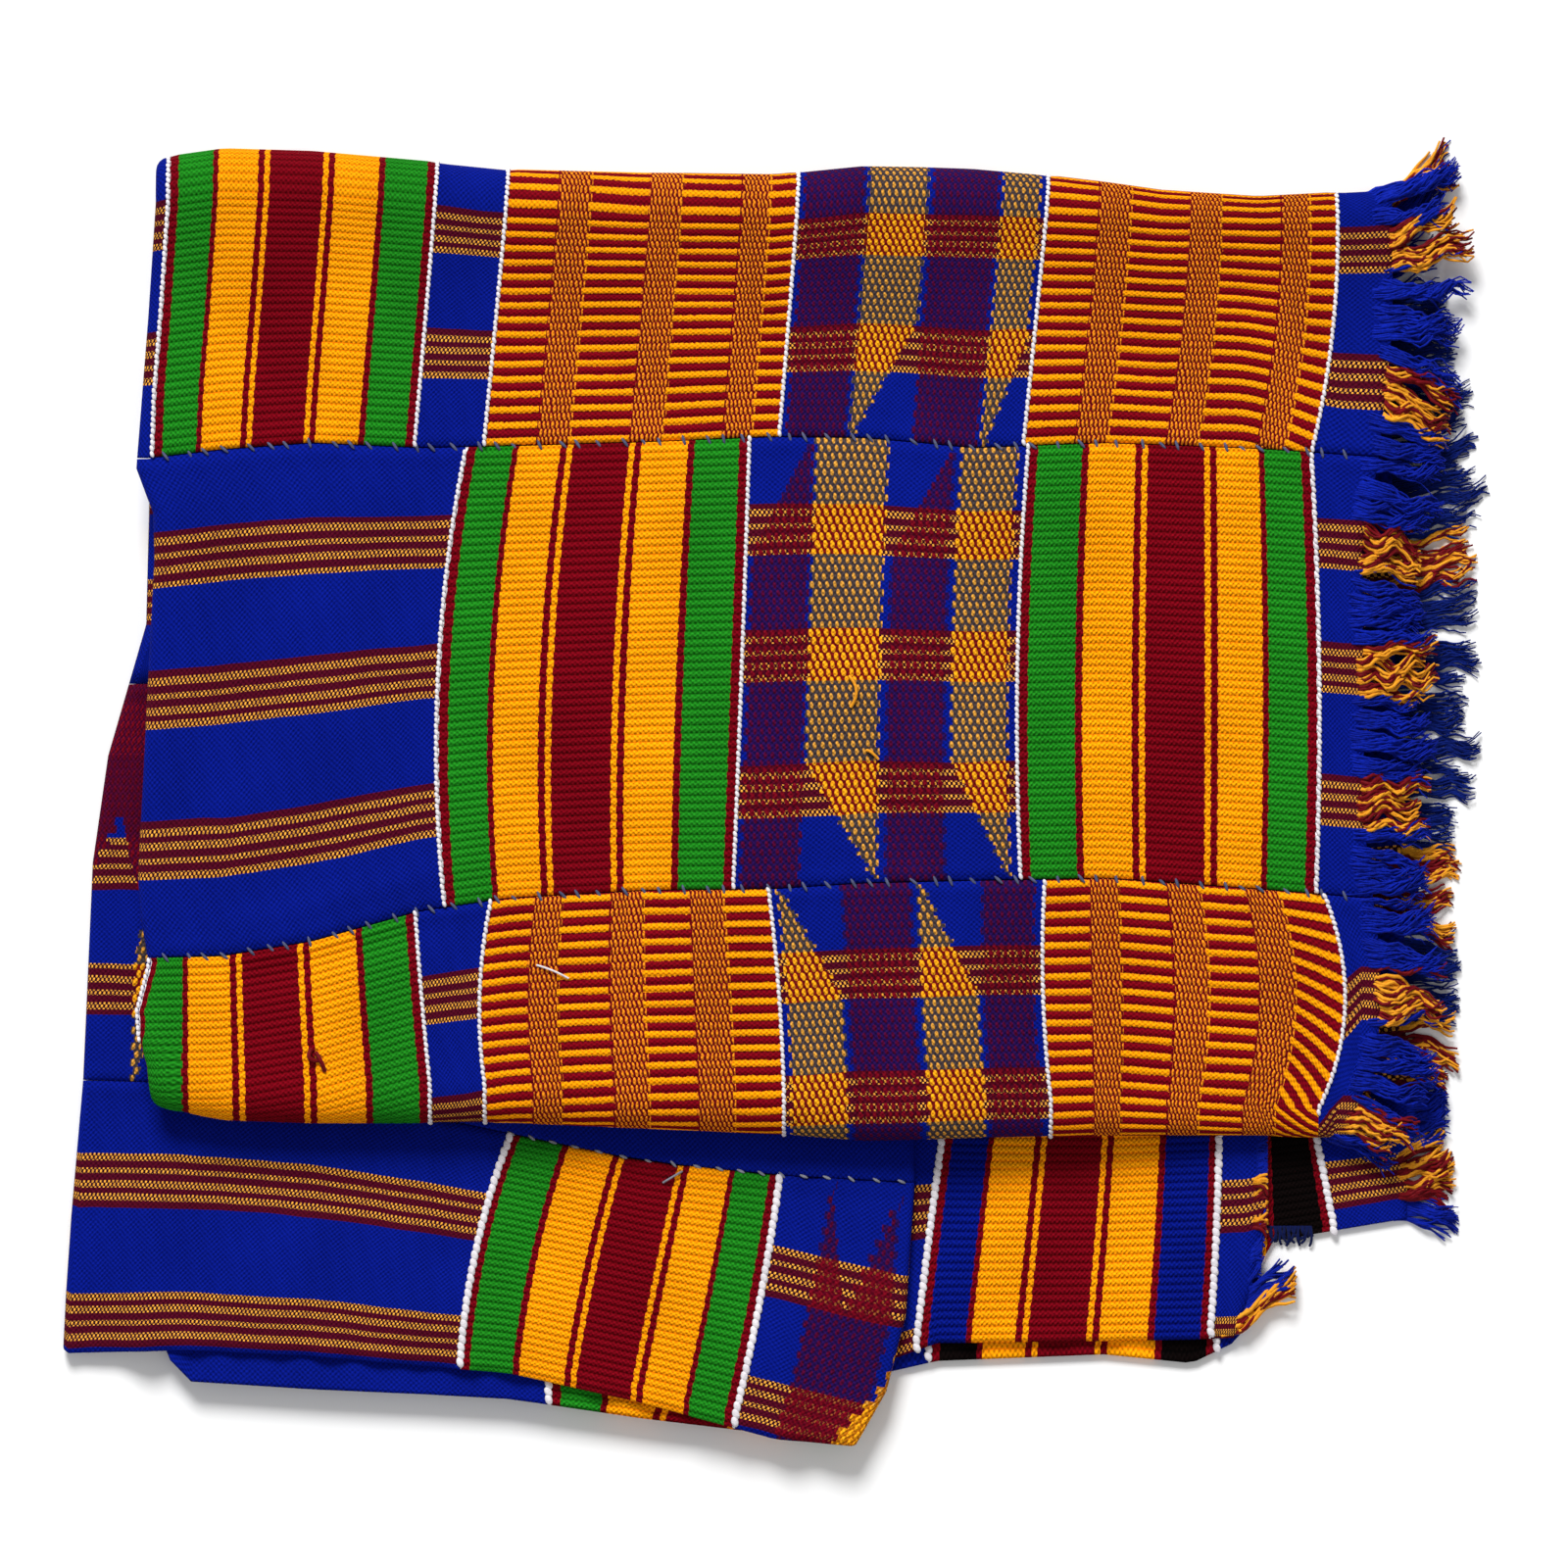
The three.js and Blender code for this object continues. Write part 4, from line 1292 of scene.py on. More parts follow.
@dataclass
class WovenStrip:
    """One woven strip, folded with the whole cloth, as a closed thin sheet."""

    name: str
    start: float
    stop: float
    runs: dict[Layer, list[Span]]
    flat: tuple[float, float]
    fine_from: float = 1.0
    fine_to: float = 0.0
    fine_row: float = 0.5
    plain_row: float = 5.0
    back_rows: int = 4
    bend_rows: int = 17
    closest_rows: float = 0.2
    narrowest: float = 0.4
    seam_gap: float = 0.25
    turn_steps: int = 8
    turn_run: float = 0.01
    fold_pick_step: int = 3
    line_relief: float = 0.35
    rib_relief: tuple[float, float] = (0.10, 0.20)
    row_relief: tuple[float, float] = (0.06, 0.22)
    motif_relief: float = 0.08
    pucker_reach: float = 5.0
    pick_lift: float = 0.25
    rests_on: tuple[str, ...] = ()
    weaves: dict[Layer, tuple[tuple[float, float], ...]] = field(default_factory=dict)
    lean: Callable[[Array, Array, Array], Array] | None = None
    picks_from: float = -300.0
    picks_to: float = 600.0
    fold_pick_from: float | None = None
    # How much painted shade darkens the strip, rising over this many millimetres of rows from its start
    painted_top_shade: float = 0.0
    shade_run: float = 50.0
    section: Section2D = field(init=False)
    rows: Array = field(init=False)

    def __post_init__(self) -> None:
        """Lays out the rows and columns."""
        self.rows = self._rows()
        self.section = self._columns()

    def _rows(self) -> Array:
        """Places across the strip at which the mesh has a row."""
        low = self.start + self.seam_gap / 2
        high = self.stop - (0 if self.stop == FOLD.flap_edge else self.seam_gap / 2)
        knots = [low, high, *FOLDS["s"], *np.arange(low, high, self.plain_row)]
        knots += [*np.arange(max(low, self.fine_from), min(high, self.fine_to), self.fine_row)]
        for bend in ((FOLD.inner_start, FOLD.top_start), (FOLD.top_end, FOLD.floor_start)):
            knots += [*np.linspace(*bend, self.bend_rows)]
        kept = np.unique(np.round([s for s in knots if low <= s <= high], 3))
        apart = np.diff(kept, prepend=kept[0] - 1) > self.closest_rows
        apart[-1] = True
        return kept[apart]

    def _columns(self) -> Section2D:
        """Lays the columns along the four layers and the folds that join them."""
        s = self.rows
        v = s - self.start
        half, tight = FOLD.sheet / 2, FOLD.pitch / 2
        outer_edge = FOLD.fold("outer_fold", s)
        top = FOLD.level(Layer.OUTER_RIGHT, outer_edge, s)
        under = FOLD.level(Layer.OUTER_LEFT, outer_edge, s)
        wide = (top - under) / 2
        outer_x = outer_edge + wide + half
        inner_x = FOLD.fold("inner_fold", s) + tight + half
        right_x = FOLD.fold("right_fold", s) - tight - half
        ends = {
            Layer.OUTER_RIGHT: (FOLD.fold("end_one", s), outer_x),
            Layer.OUTER_LEFT: (outer_x, right_x),
            Layer.INNER_LEFT: (right_x, inner_x),
            Layer.INNER_RIGHT: (inner_x, FOLD.fold("end_two", s)),
        }
        flat = np.zeros_like(s)
        turns = {
            Layer.OUTER_RIGHT: (outer_x, (top + under) / 2, wide, -1, 1),
            Layer.OUTER_LEFT: (right_x, flat - FOLD.pitch, flat + tight, 1, -1),
            Layer.INNER_LEFT: (inner_x, flat, flat + tight, -1, -1),
        }
        columns: list[tuple[Array, Array, float, float]] = []
        stretches: list[tuple[Section, float, float]] = []
        picks: list[tuple[int, Face, float]] = []
        for layer, spans in self.runs.items():
            here, finish = ends[layer]
            columns.append((here, FOLD.level(layer, here, s), float(layer), float(spans[0].step == FINE)))
            for span in spans:
                there = finish
                if span.until is not None:
                    low, high = np.minimum(here, finish), np.maximum(here, finish)
                    there = np.clip(span.until.at(v), low + self.narrowest, high - self.narrowest)
                steps = max(1, math.ceil(np.abs(there - here).mean() / span.step))
                for step in range(1, steps + 1):
                    x = mix(here, there, step / steps)
                    lift = (self.line_relief if step == steps else 1.0) * (span.step == FINE)
                    columns.append((x, FOLD.level(layer, x, s), float(layer), lift))
                    first, last = (mix(span.first, span.last, at / steps) for at in (step - 1, step))
                    stretches.append((span.section, first, last))
                if span.pick is not None:
                    picks.append((len(columns) - 1, span.pick, max(self.picks_from, span.pick_from)))
                here = there
            if layer in turns:
                centre, middle, radius, side, sense = turns[layer]
                tail = spans[-1]
                rolls = layer is Layer.OUTER_RIGHT and self.fold_pick_from is not None
                run = np.sign(tail.last - tail.first) * (2 if rolls else 1) * self.turn_run
                for step in range(1, self.turn_steps + 1):
                    stretches.append((tail.section, tail.last + run * (step - 1), tail.last + run * step))
                for step in range(1, self.turn_steps):
                    angle = math.pi * step / self.turn_steps
                    x = centre + side * radius * math.sin(angle)
                    level = middle + sense * radius * math.cos(angle)
                    columns.append((x, level, layer + step / self.turn_steps, 0.0))
                    if rolls and step == self.fold_pick_step:
                        picks.append((len(columns) - 1, Face.RIGHT, self.fold_pick_from))
        x, level, layers, relief = zip(*columns)
        return Section2D(
            np.stack(x, 1), np.stack(level, 1), np.array(layers), np.array(relief), *zip(*stretches), picks
        )

    def weave(self, layer: Array, s: Array, x: Array) -> Array:
        """The place across the weave that lies at a place of the strip.

        Args:
            layer: The layer, with a fraction inside a fold.
            s: The distance across the strips.
            x: The place along the strips.

        Returns:
            The place across the weave, from 0 to 100.
        """
        layer, s, x = spread(layer, s, x)
        v = s - self.start
        for number, knots in self.weaves.items():
            at, woven = np.array(knots).T
            v = np.where(np.rint(layer) == number, np.interp(s, at, woven), v)
        return v if self.lean is None else v + self.lean(layer, s, x)

    def _relief(self) -> Array:
        """How far the right side stands proud of the plain sheet at each row and column."""
        part = self.section
        v = self.weave(part.layer[None], self.rows[:, None], part.x)
        rest, swing = self.rib_relief
        ribs = rest + swing * np.abs(np.sin(np.pi * v / WovenFinish.rib_pitch))
        rest, swing = self.row_relief
        heights = np.zeros_like(part.x)
        for column in range(part.x.shape[1]):
            section = part.section[min(column, len(part.section) - 1)]
            if section in FLANKS:
                heights[:, column] = ribs[:, column]
            elif section in BASKETS:
                turn = math.tau * v[:, column] / BASKETS[section].pitch
                heights[:, column] = rest + swing * np.abs(np.sin(turn))
            elif section is not Section.GROUND:
                heights[:, column] = self.motif_relief
        away = np.minimum(self.rows - self.rows[0], self.rows[-1] - self.rows)[:, None]
        gathers = 0.3 * np.sin(math.tau * part.x / 10.4) + 0.22 * np.sin(math.tau * part.x / 14.7 + 1.0)
        pucker = gathers * np.exp(-away / self.pucker_reach)
        roll = -0.42 * np.exp(-((away / 0.8) ** 2)) + 0.16 * np.exp(-(((away - 2.2) / 1.6) ** 2))
        underneath = (part.layer[None] < 0.5) & (self.rows[:, None] > FOLD.floor_start - 6)
        return (heights + pucker + roll) * part.relief[None] * ~underneath

    def surface(self, side: Face, lift: Array) -> Array:
        """Points of one face of the sheet.

        Args:
            side: The face.
            lift: How far each point stands proud of the plain face.

        Returns:
            Points in metres by row and column.
        """
        part = self.section
        step_x = np.gradient(part.x, axis=1)
        step_level = np.gradient(part.level, axis=1)
        length = np.hypot(step_x, step_level)
        reach = side.value * (FOLD.sheet / 2 + lift)
        x = part.x + reach * step_level / length
        level = part.level - reach * step_x / length
        return FOLD.place(part.layer[None], self.rows[:, None], x, level)

    def build(self, finish: WovenFinish) -> Object:
        """Builds the closed sheet.

        Args:
            finish: The woven materials.

        Returns:
            The strip.
        """
        right = self.surface(Face.RIGHT, self._relief())
        back = self.surface(Face.BACK, np.zeros_like(self.section.x))
        count, columns = right.shape[:2]
        kept = sorted({*range(0, count, self.back_rows), count - 1})
        points = np.concatenate((right.reshape(-1, 3), back[kept].reshape(-1, 3)))
        top = np.arange(count * columns).reshape(count, columns)
        low = count * columns + np.arange(len(kept) * columns).reshape(len(kept), columns)
        sides = (
            (top[:-1, :-1], top[1:, :-1], top[1:, 1:], top[:-1, 1:]),
            (low[:-1, :-1], low[:-1, 1:], low[1:, 1:], low[1:, :-1]),
        )
        faces = [face for side in sides for face in np.stack(side, -1).reshape(-1, 4).tolist()]
        spans = list(range(columns - 1)) * (count + len(kept) - 2)
        soft = len(faces)
        for index in range(len(kept) - 1):
            rim = top[kept[index]:kept[index + 1] + 1]
            faces.append([low[index, 0], low[index + 1, 0], *rim[::-1, 0]])
            faces.append([*rim[:, -1], low[index + 1, -1], low[index, -1]])
            spans += [0, columns - 2]
        for column in range(columns - 1):
            beside = column + 1
            faces.append([top[0, column], top[0, beside], low[0, beside], low[0, column]])
            faces.append([top[-1, beside], top[-1, column], low[-1, column], low[-1, beside]])
            spans += [column, column]
        mesh = bpy.data.meshes.new(f"cloth_{self.name}")
        mesh.from_pydata(points, [], faces)
        self._dress(mesh, finish, np.array(spans), np.arange(len(faces)) < soft, kept)
        return place_object(f"cloth_{self.name}", mesh)

    def _dress(self, mesh: Mesh, finish: WovenFinish, spans: Array, soft: Array, kept: list[int]) -> None:
        """Gives each face its section's material and its place in the weave.

        Args:
            mesh: The strip's mesh.
            finish: The woven materials.
            spans: The column to the right of which each face lies.
            soft: Whether each face is shaded smooth.
            kept: The rows that the back face has.
        """
        for material in finish.materials:
            mesh.materials.append(material)
        part = self.section
        columns = part.x.shape[1]
        mesh.polygons.foreach_set("material_index", np.array(part.section, dtype=np.int32)[spans])
        mesh.polygons.foreach_set("use_smooth", soft)
        totals = np.empty(len(mesh.polygons), dtype=np.int32)
        mesh.polygons.foreach_get("loop_total", totals)
        corners = np.empty(len(mesh.loops), dtype=np.int32)
        mesh.loops.foreach_get("vertex_index", corners)
        row, column = np.divmod(corners, columns)
        all_rows = np.concatenate((self.rows, self.rows[kept]))
        span = np.repeat(spans, totals)
        u = np.where(column == span, np.array(part.first)[span], np.array(part.last)[span])
        s = all_rows[row]
        x = np.concatenate((part.x, part.x[kept]))[row, column]
        layer = part.layer[column]
        v = self.weave(layer, s, x) / STRIP_WIDTH
        if self.fold_pick_from is not None:
            rolled = smooth(-s, -self.fold_pick_from - 8, -self.fold_pick_from + 8)
            near_fold = np.clip((0.17 - u) / 0.095, 0, 1) * (layer < 0.99) * (x < -100)
            u = u + 0.06 * rolled * near_fold
        weave_map = mesh.uv_layers.new(name=WEAVE_MAP)
        weave_map.data.foreach_set("uv", np.stack((u, v), 1).astype(np.float32).ravel())
        # Painted shade: darker along the rows away from the strip's start
        painted_shading = 1 - self.painted_top_shade * smooth(all_rows, self.start, self.start + self.shade_run)
        mark(mesh, PAINTED_SHADE, "FLOAT", np.repeat(painted_shading, columns))

    def pick_paths(self) -> list[tuple[Array, Array]]:
        """The lines of white picks: points along each, and the way that is up from the cloth there."""
        paths = []
        lift = np.full_like(self.section.x, self.pick_lift)
        for column, side, lowest in self.section.picks:
            shown = (self.rows >= lowest) & (self.rows <= self.picks_to)
            low = self.surface(side, lift)[shown, column]
            high = self.surface(side, lift + 1.0)[shown, column]
            paths.append((low, unit(high - low)))
        return paths


class RepeatTrees:
    """The geometry node trees for what repeats: yarns along paths, and knots along lines."""

    def __init__(self) -> None:
        """Builds both trees once."""
        self.yarns = self._yarns()
        self.knots = self._knots()

    def _yarns(self) -> NodeTree:
        """Round yarns along drawn paths, in three colours by the path's tone."""
        inputs = {**GEOMETRY, "sides": "NodeSocketInt", **dict.fromkeys(TONES, "NodeSocketMaterial")}
        graph, given, result = new_group("yarns_along_paths", inputs, GEOMETRY, "GeometryNodeTree")
        made = graph.step("GeometryNodeCurveToMesh", {
            "Curve": graph.step("GeometryNodeMeshToCurve", {0: given["Geometry"]}),
            "Profile Curve": graph.step(
                "GeometryNodeCurvePrimitiveCircle", {"Resolution": given["sides"], "Radius": 1.0}
            ),
            "Scale": graph.read("thickness", "FLOAT"),
            "Fill Caps": True,
        })
        for kind in ("GeometryNodeSetShadeSmooth", "GeometryNodeRealizeInstances"):
            made = graph.step(kind, {0: made})
        tone = graph.read("tone", "INT")
        for number, title in enumerate(TONES):
            same = graph.step("FunctionNodeCompare", {2: tone, 3: number}, data_type="INT", operation="EQUAL")
            made = graph.step("GeometryNodeSetMaterial", {
                "Geometry": made, "Selection": same, "Material": given[title],
            })
        graph.feed(result["Geometry"], made)
        return graph.tree

    def _knots(self) -> NodeTree:
        """Small rounded turns of thread on points, along one way and standing on another."""
        inputs = {
            **GEOMETRY,
            "size": "NodeSocketVector",
            "slant": VALUE,
            "uneven": VALUE,
            "seed": "NodeSocketInt",
            "thread": "NodeSocketMaterial",
        }
        graph, given, result = new_group("knots_on_points", inputs, GEOMETRY, "GeometryNodeTree")
        along, up = (graph.read(name, "FLOAT_VECTOR") for name in ("along", "up"))
        align = "FunctionNodeAlignRotationToVector"
        turned = graph.step(align, {"Vector": up}, axis="Z")
        turned = graph.step(align, {"Rotation": turned, "Vector": along}, axis="Y", pivot_axis="Z")
        uneven = graph.node("FunctionNodeRandomValue", data_type="FLOAT")
        graph.feed(uneven.inputs[2], graph.math("MULTIPLY", given["uneven"], -1.0))
        graph.feed(uneven.inputs[3], given["uneven"])
        graph.feed(uneven.inputs["Seed"], given["seed"])
        slant = graph.vector(0.0, 0.0, graph.math("ADD", given["slant"], uneven.outputs[1]))
        made = graph.step("GeometryNodeInstanceOnPoints", {
            "Points": given["Geometry"],
            "Instance": graph.step("GeometryNodeMeshIcoSphere", {"Radius": 0.5, "Subdivisions": 2}),
            "Rotation": graph.step("FunctionNodeRotateRotation", {0: turned, 1: slant}, rotation_space="LOCAL"),
            "Scale": given["size"],
        })
        for kind in ("GeometryNodeRealizeInstances", "GeometryNodeSetShadeSmooth"):
            made = graph.step(kind, {0: made})
        made = graph.step("GeometryNodeSetMaterial", {"Geometry": made, "Material": given["thread"]})
        graph.feed(result["Geometry"], made)
        return graph.tree


def grow(name: str, mesh: Mesh, tree: NodeTree, **values: object) -> Object:
    """Runs a geometry tree on a mesh and keeps the result as a plain mesh.

    Args:
        name: The piece's name.
        mesh: The paths or points that the tree works on.
        tree: The geometry node tree.
        values: The tree's inputs, by name.

    Returns:
        The finished piece.
    """
    base = place_object(f"{name}_paths", mesh)
    modifier = base.modifiers.new("grow", "NODES")
    modifier.node_group = tree
    sockets = {s.name: s.identifier for s in tree.interface.items_tree if s.in_out == "INPUT"}
    for title, value in values.items():
        modifier[sockets[title]] = value
    evaluated = base.evaluated_get(bpy.context.evaluated_depsgraph_get())
    plain = bpy.data.meshes.new_from_object(evaluated)
    for spare in [a.name for a in plain.attributes if a.name in ("thickness", "tone", "along", "up")]:
        plain.attributes.remove(plain.attributes[spare])
    base.modifiers.remove(modifier)
    bpy.data.objects.remove(base)
    return place_object(name, plain)


def path_mesh(name: str, paths: list[Array], thickness: list[Array], tones: list[int]) -> Mesh:
    """Joins drawn paths into one mesh of edges.

    Args:
        name: The mesh's name.
        paths: The points of each path, in metres.
        thickness: The yarn's radius at each point of each path.
        tones: The colour number of each path.

    Returns:
        The mesh, with the thickness and tone on its points.
    """
    mesh = bpy.data.meshes.new(name)
    edges, at = [], 0
    for path in paths:
        edges += [(at + i, at + i + 1) for i in range(len(path) - 1)]
        at += len(path)
    mesh.from_pydata(np.concatenate(paths), edges, [])
    mark(mesh, "thickness", "FLOAT", np.concatenate(thickness))
    mark(mesh, "tone", "INT", np.repeat(tones, [len(path) for path in paths]))
    return mesh


def point_mesh(name: str, points: Array, along: Array, up: Array) -> Mesh:
    """Makes a mesh of loose points with two ways on each.

    Args:
        name: The mesh's name.
        points: The points, in metres.
        along: The way along the line at each point.
        up: The way up from the cloth at each point.

    Returns:
        The mesh.
    """
    mesh = bpy.data.meshes.new(name)
    mesh.from_pydata(points, [], [])
    mark(mesh, "along", "FLOAT_VECTOR", along)
    mark(mesh, "up", "FLOAT_VECTOR", up)
    return mesh


def walk(points: Array, *others: Array, pitch: float) -> list[Array]:
    """Steps along a path at an even pitch.

    Args:
        points: The path's points.
        others: More values on the same points.
        pitch: The distance between steps, in metres.

    Returns:
        The points and the other values at each step, and the way along.
    """
    lengths = np.concatenate(([0.0], np.cumsum(np.linalg.norm(np.diff(points, axis=0), axis=1))))
    at = np.arange(pitch / 2, lengths[-1], pitch)
    stepped = [np.stack([np.interp(at, lengths, a[:, i]) for i in range(3)], 1) for a in (points, *others)]
    return [*stepped, unit(np.gradient(stepped[0], axis=0))]


@dataclass
class WhitePicks:
    """The white twisted picks that part the blocks."""

    pitch: float = 1.3
    size: tuple[float, float, float] = (0.94, 1.6, 0.86)
    slant: float = 0.38
    sway: float = 0.05
    uneven: float = 0.12
    seed: int = 3

    def build(self, strip: WovenStrip, trees: RepeatTrees, thread: Material) -> Object:
        """Lays the picks of one strip.

        Args:
            strip: The strip that they lie on.
            trees: The geometry trees.
            thread: The thread's material.

        Returns:
            The picks as one piece.
        """
        points, ways, ups = [], [], []
        for path, up in strip.pick_paths():
            at, above, along = walk(path, up, pitch=self.pitch * MM)
            across = np.cross(along, above)
            swing = np.where(np.arange(len(at)) % 2 == 0, 1, -1)[:, None] * self.sway * MM
            points.append(at + across * swing)
            ways.append(along)
            ups.append(above)
        mesh = point_mesh("pick_points", *(np.concatenate(part) for part in (points, ways, ups)))
        return grow(f"picks_{strip.name}", mesh, trees.knots, size=Vector(self.size) * MM, slant=self.slant,
                    uneven=self.uneven, seed=self.seed, thread=thread)


@dataclass
class SeamStitches:
    """The slanting whip stitches that join two strips."""

    name: str
    s: float
    layer: Layer
    x_from: float
    x_to: float
    spacing: float = 4.7
    size: tuple[float, float, float] = (0.72, 2.7, 0.7)
    slant: float = 0.55
    lift: float = 0.05
    uneven: float = 0.35
    seed: int = 11

    def build(self, trees: RepeatTrees, thread: Material) -> Object:
        """Sews the seam.

        Args:
            trees: The geometry trees.
            thread: The thread's material.

        Returns:
            The stitches as one piece.
        """
        x = np.arange(self.x_from, self.x_to, self.spacing)
        x = x + 0.9 * np.sin(2.3 * x)
        layer, s = self.layer, self.s
        level = FOLD.level(layer, x, s) + layer.outward * (FOLD.sheet / 2 + self.lift)
        at = FOLD.place(layer, s, x, level)
        up = FOLD.place(layer, s, x, level + layer.outward) - at
        along = FOLD.place(layer, s + 1, x, level) - FOLD.place(layer, s - 1, x, level)
        mesh = point_mesh("stitch_points", at, unit(along), unit(up))
        return grow(self.name, mesh, trees.knots, size=Vector(self.size) * MM, slant=self.slant,
                    uneven=self.uneven, seed=self.seed, thread=thread)


@dataclass
class Fringe:
    """The unwoven warp ends at one end of a strip, crimped and hanging together in locks."""

    strip: WovenStrip
    end: End
    spacing: float
    plies: int = 2
    crimp: float = 0.8
    drift: float = 2.6
    shortest: float = 0.55
    radius: float = 0.31
    droop: float = 3.0
    points: int = 16
    backing: float = 2.2
    root: float = 3.0
    ply_rise: float = 0.6
    lock_widths: tuple[float, float] = (1.4, 4.6)
    tangle: float = 0.0
    early: float = 0.0
    seed: int = 5

    @property
    def name(self) -> str:
        """The piece's name."""
        return f"yarns_{self.end.name.lower()}_{self.strip.name}"

    @property
    def node(self) -> str:
        """The node of the part that the yarns stand for."""
        return f"fringe_{self.end.name.lower()}_{self.strip.name}"

    @property
    def layer(self) -> Layer:
        """The layer that ends here."""
        return Layer.OUTER_RIGHT if self.end is End.FIRST else Layer.INNER_RIGHT

    def build(self, trees: RepeatTrees, yarns: Sequence[Material]) -> Object:
        """Draws the yarns and gives them their thickness.

        Args:
            trees: The geometry trees.
            yarns: The blue, gold and maroon yarn.

        Returns:
            The fringe as one piece.
        """
        start, stop = self.strip.start, self.strip.stop
        rng = np.random.default_rng((self.seed, int(stop - start), int(stop) + 1000))
        most = int((stop - start) / self.lock_widths[0]) + 2
        edges = start + np.cumsum(rng.uniform(*self.lock_widths, most))
        locks = rng.uniform(size=(len(edges), 5))
        paths, thickness, tones = [], [], []
        for place in np.arange(start + 0.5, stop - 0.3, self.spacing):
            tone = WARP.tone(float(self.strip.weave(self.layer, place, FOLD.fold(self.end.value, place))))
            for ply in range(self.plies):
                base = place + rng.uniform(-0.3, 0.3)
                index = int(np.searchsorted(edges, base))
                centre = edges[index] - sum(self.lock_widths) / 4
                path, thick = self._yarn(base, centre, locks[index], ply, tone, rng)
                paths.append(path)
                thickness.append(thick)
                tones.append(tone)
        mesh = path_mesh(self.name, paths, thickness, tones)
        return grow(self.name, mesh, trees.yarns, sides=5, **dict(zip(TONES, yarns)))

    def _yarn(self, base: float, centre: float, lock: Array, ply: int, tone: int,
              rng: np.random.Generator) -> tuple[Array, Array]:
        """Draws one yarn.

        Args:
            base: Where it leaves the weave.
            centre: The middle of its lock.
            lock: Five shares from 0 to 1 that the yarns of a lock have in common.
            ply: Which layer of yarns it is in.
            tone: Its colour number.
            rng: The source of its own unevenness.

        Returns:
            The points of its path, and its radius at each.
        """
        share = np.linspace(0, 1, self.points)
        reach = np.interp(base, FRINGE_REACH["s"], FRINGE_REACH[self.end.value])
        fan = np.interp(base, FRINGE_REACH["s"], FRINGE_REACH[self.end.value.replace("end", "fan")])
        fullness = mix(self.shortest, 1.0, 0.6 * lock[0] + 0.4 * rng.uniform())
        length = self.backing * np.clip(reach / 3, 0.1, 1.0) + reach * fullness
        # The lock's own curl and the yarn's, wider towards the tip
        turn = math.tau * (lock[2] + 0.05 * rng.normal() + share * length / mix(6.0, 12.0, lock[1]))
        tangle = 0.0 if tone else self.tangle * mix(0.4, 1.0, lock[1])
        own = math.tau * (rng.uniform() + share * length / (rng.uniform(2.4, 4.0) * mix(1.0, 1.5, tangle)))
        ramp = (smooth(share, 0.0, 0.35) if tone else smooth(share, 0.1, 0.75)) * self.crimp
        swing = mix(0.5, 1.5, lock[3]) * (1.5 if tone else 0.9)
        sway = (2 * lock[4] - 1) * self.drift + rng.normal() * 0.8
        curl = mix(0.35, 1.1, tangle)
        gather = mix(0.5, 0.95, tangle)
        s = base + gather * (centre - base) * share + ramp * (swing * np.sin(turn) + curl * np.sin(own))
        # Some yarns leave the weave early and lie over its last picks
        early = 0.0 if tone or not ply else self.early * (0.45 * lock[3] + 0.55 * rng.uniform())
        weave_end = FOLD.fold(self.end.value, base)
        x = weave_end + mix(-self.root - early, length, share)
        top = smooth(base, FOLD.top_start, FOLD.top_start + 20)
        top *= 1 - smooth(base, FOLD.top_end - 30, FOLD.top_end)
        drop = self.droop * top * share**2 if self.end is End.FIRST else 0.4 * share
        past = x - weave_end
        stack = (ply - (self.plies - 1) / 2) * self.ply_rise + 0.3 * (1 - smooth(share, 0.1, 0.4))
        stack *= smooth(past + 1.6 * lock[3] ** 2, -0.4, 0.8 if tone else 4.0)
        if early:
            lain = smooth(past + early, -0.6, 1.4) * (1 - smooth(past, 0.5, 5.0))
            stack = np.maximum(stack, lain * (FOLD.sheet / 2 + 0.1 + 0.2 * ply))
        rise = ramp * (0.7 * swing * np.cos(turn + lock[0]) + curl * np.cos(own))
        level = FOLD.level(self.layer, x, s) + stack - drop + rise
        path = FOLD.place(self.layer, s, x, level)
        path[:, 1] += ((fan + sway) * share**1.4 + 1.3 * rng.normal() * share**4) * MM
        thick = self.radius * rng.uniform(0.8, 1.15) * (1.3 if tone else 0.92) * (1 - 0.45 * share**4) * MM
        path[:, 2] = np.maximum(path[:, 2], thick)
        return path, thick


@dataclass(frozen=True)
class Thread:
    """A loose end of thread by places (x, y) and its lift above the layer, or above the floor."""

    tone: int
    radius: float
    layer: Layer | None
    places: tuple[tuple[float, float, float], ...]

    def path(self) -> Array:
        """Points along the thread, rounded between its places."""
        given = np.array(self.places)
        share = np.linspace(0, 1, len(given))
        fine = np.linspace(0, 1, 14)
        degree = min(2, len(given) - 1)
        x, y, lift = (np.polyval(np.polyfit(share, column, degree), fine) for column in given.T)
        if self.layer is None:
            return np.stack((x + FOLD.shift[0], y + FOLD.shift[1], lift), 1) * MM
        s = FOLD.find(self.layer, x, y)
        level = FOLD.level(self.layer, x, s) + self.layer.outward * (FOLD.sheet / 2 + 0.3 + lift)
        return FOLD.place(self.layer, s, x, level)


# The end of the sewing thread on the flap's seam
SEAM_TAIL = Thread(0, 0.24, Layer.OUTER_LEFT, ((-25.3, -88.4, 0.1), (-23.0, -87.0, 0.7), (-20.9, -85.8, 0.1)))


def frayed_edge() -> tuple[Thread, ...]:
    """Short yarns that hang from the edge of the flap's lowest layer."""
    rng = np.random.default_rng(23)
    made = []
    for x in np.arange(110.8, 122.4, 0.42):
        fall, side = rng.uniform(0.6, 3.6), rng.uniform(-2.4, 2.4)
        middle = (x + 0.3 * side + rng.uniform(-0.7, 0.7), -99.4 - 0.5 * fall, 1.2)
        made.append(Thread(0, 0.3, None, ((x, -98.4, 1.0), middle, (x + side, -99.4 - fall, 0.4))))
    return tuple(made)


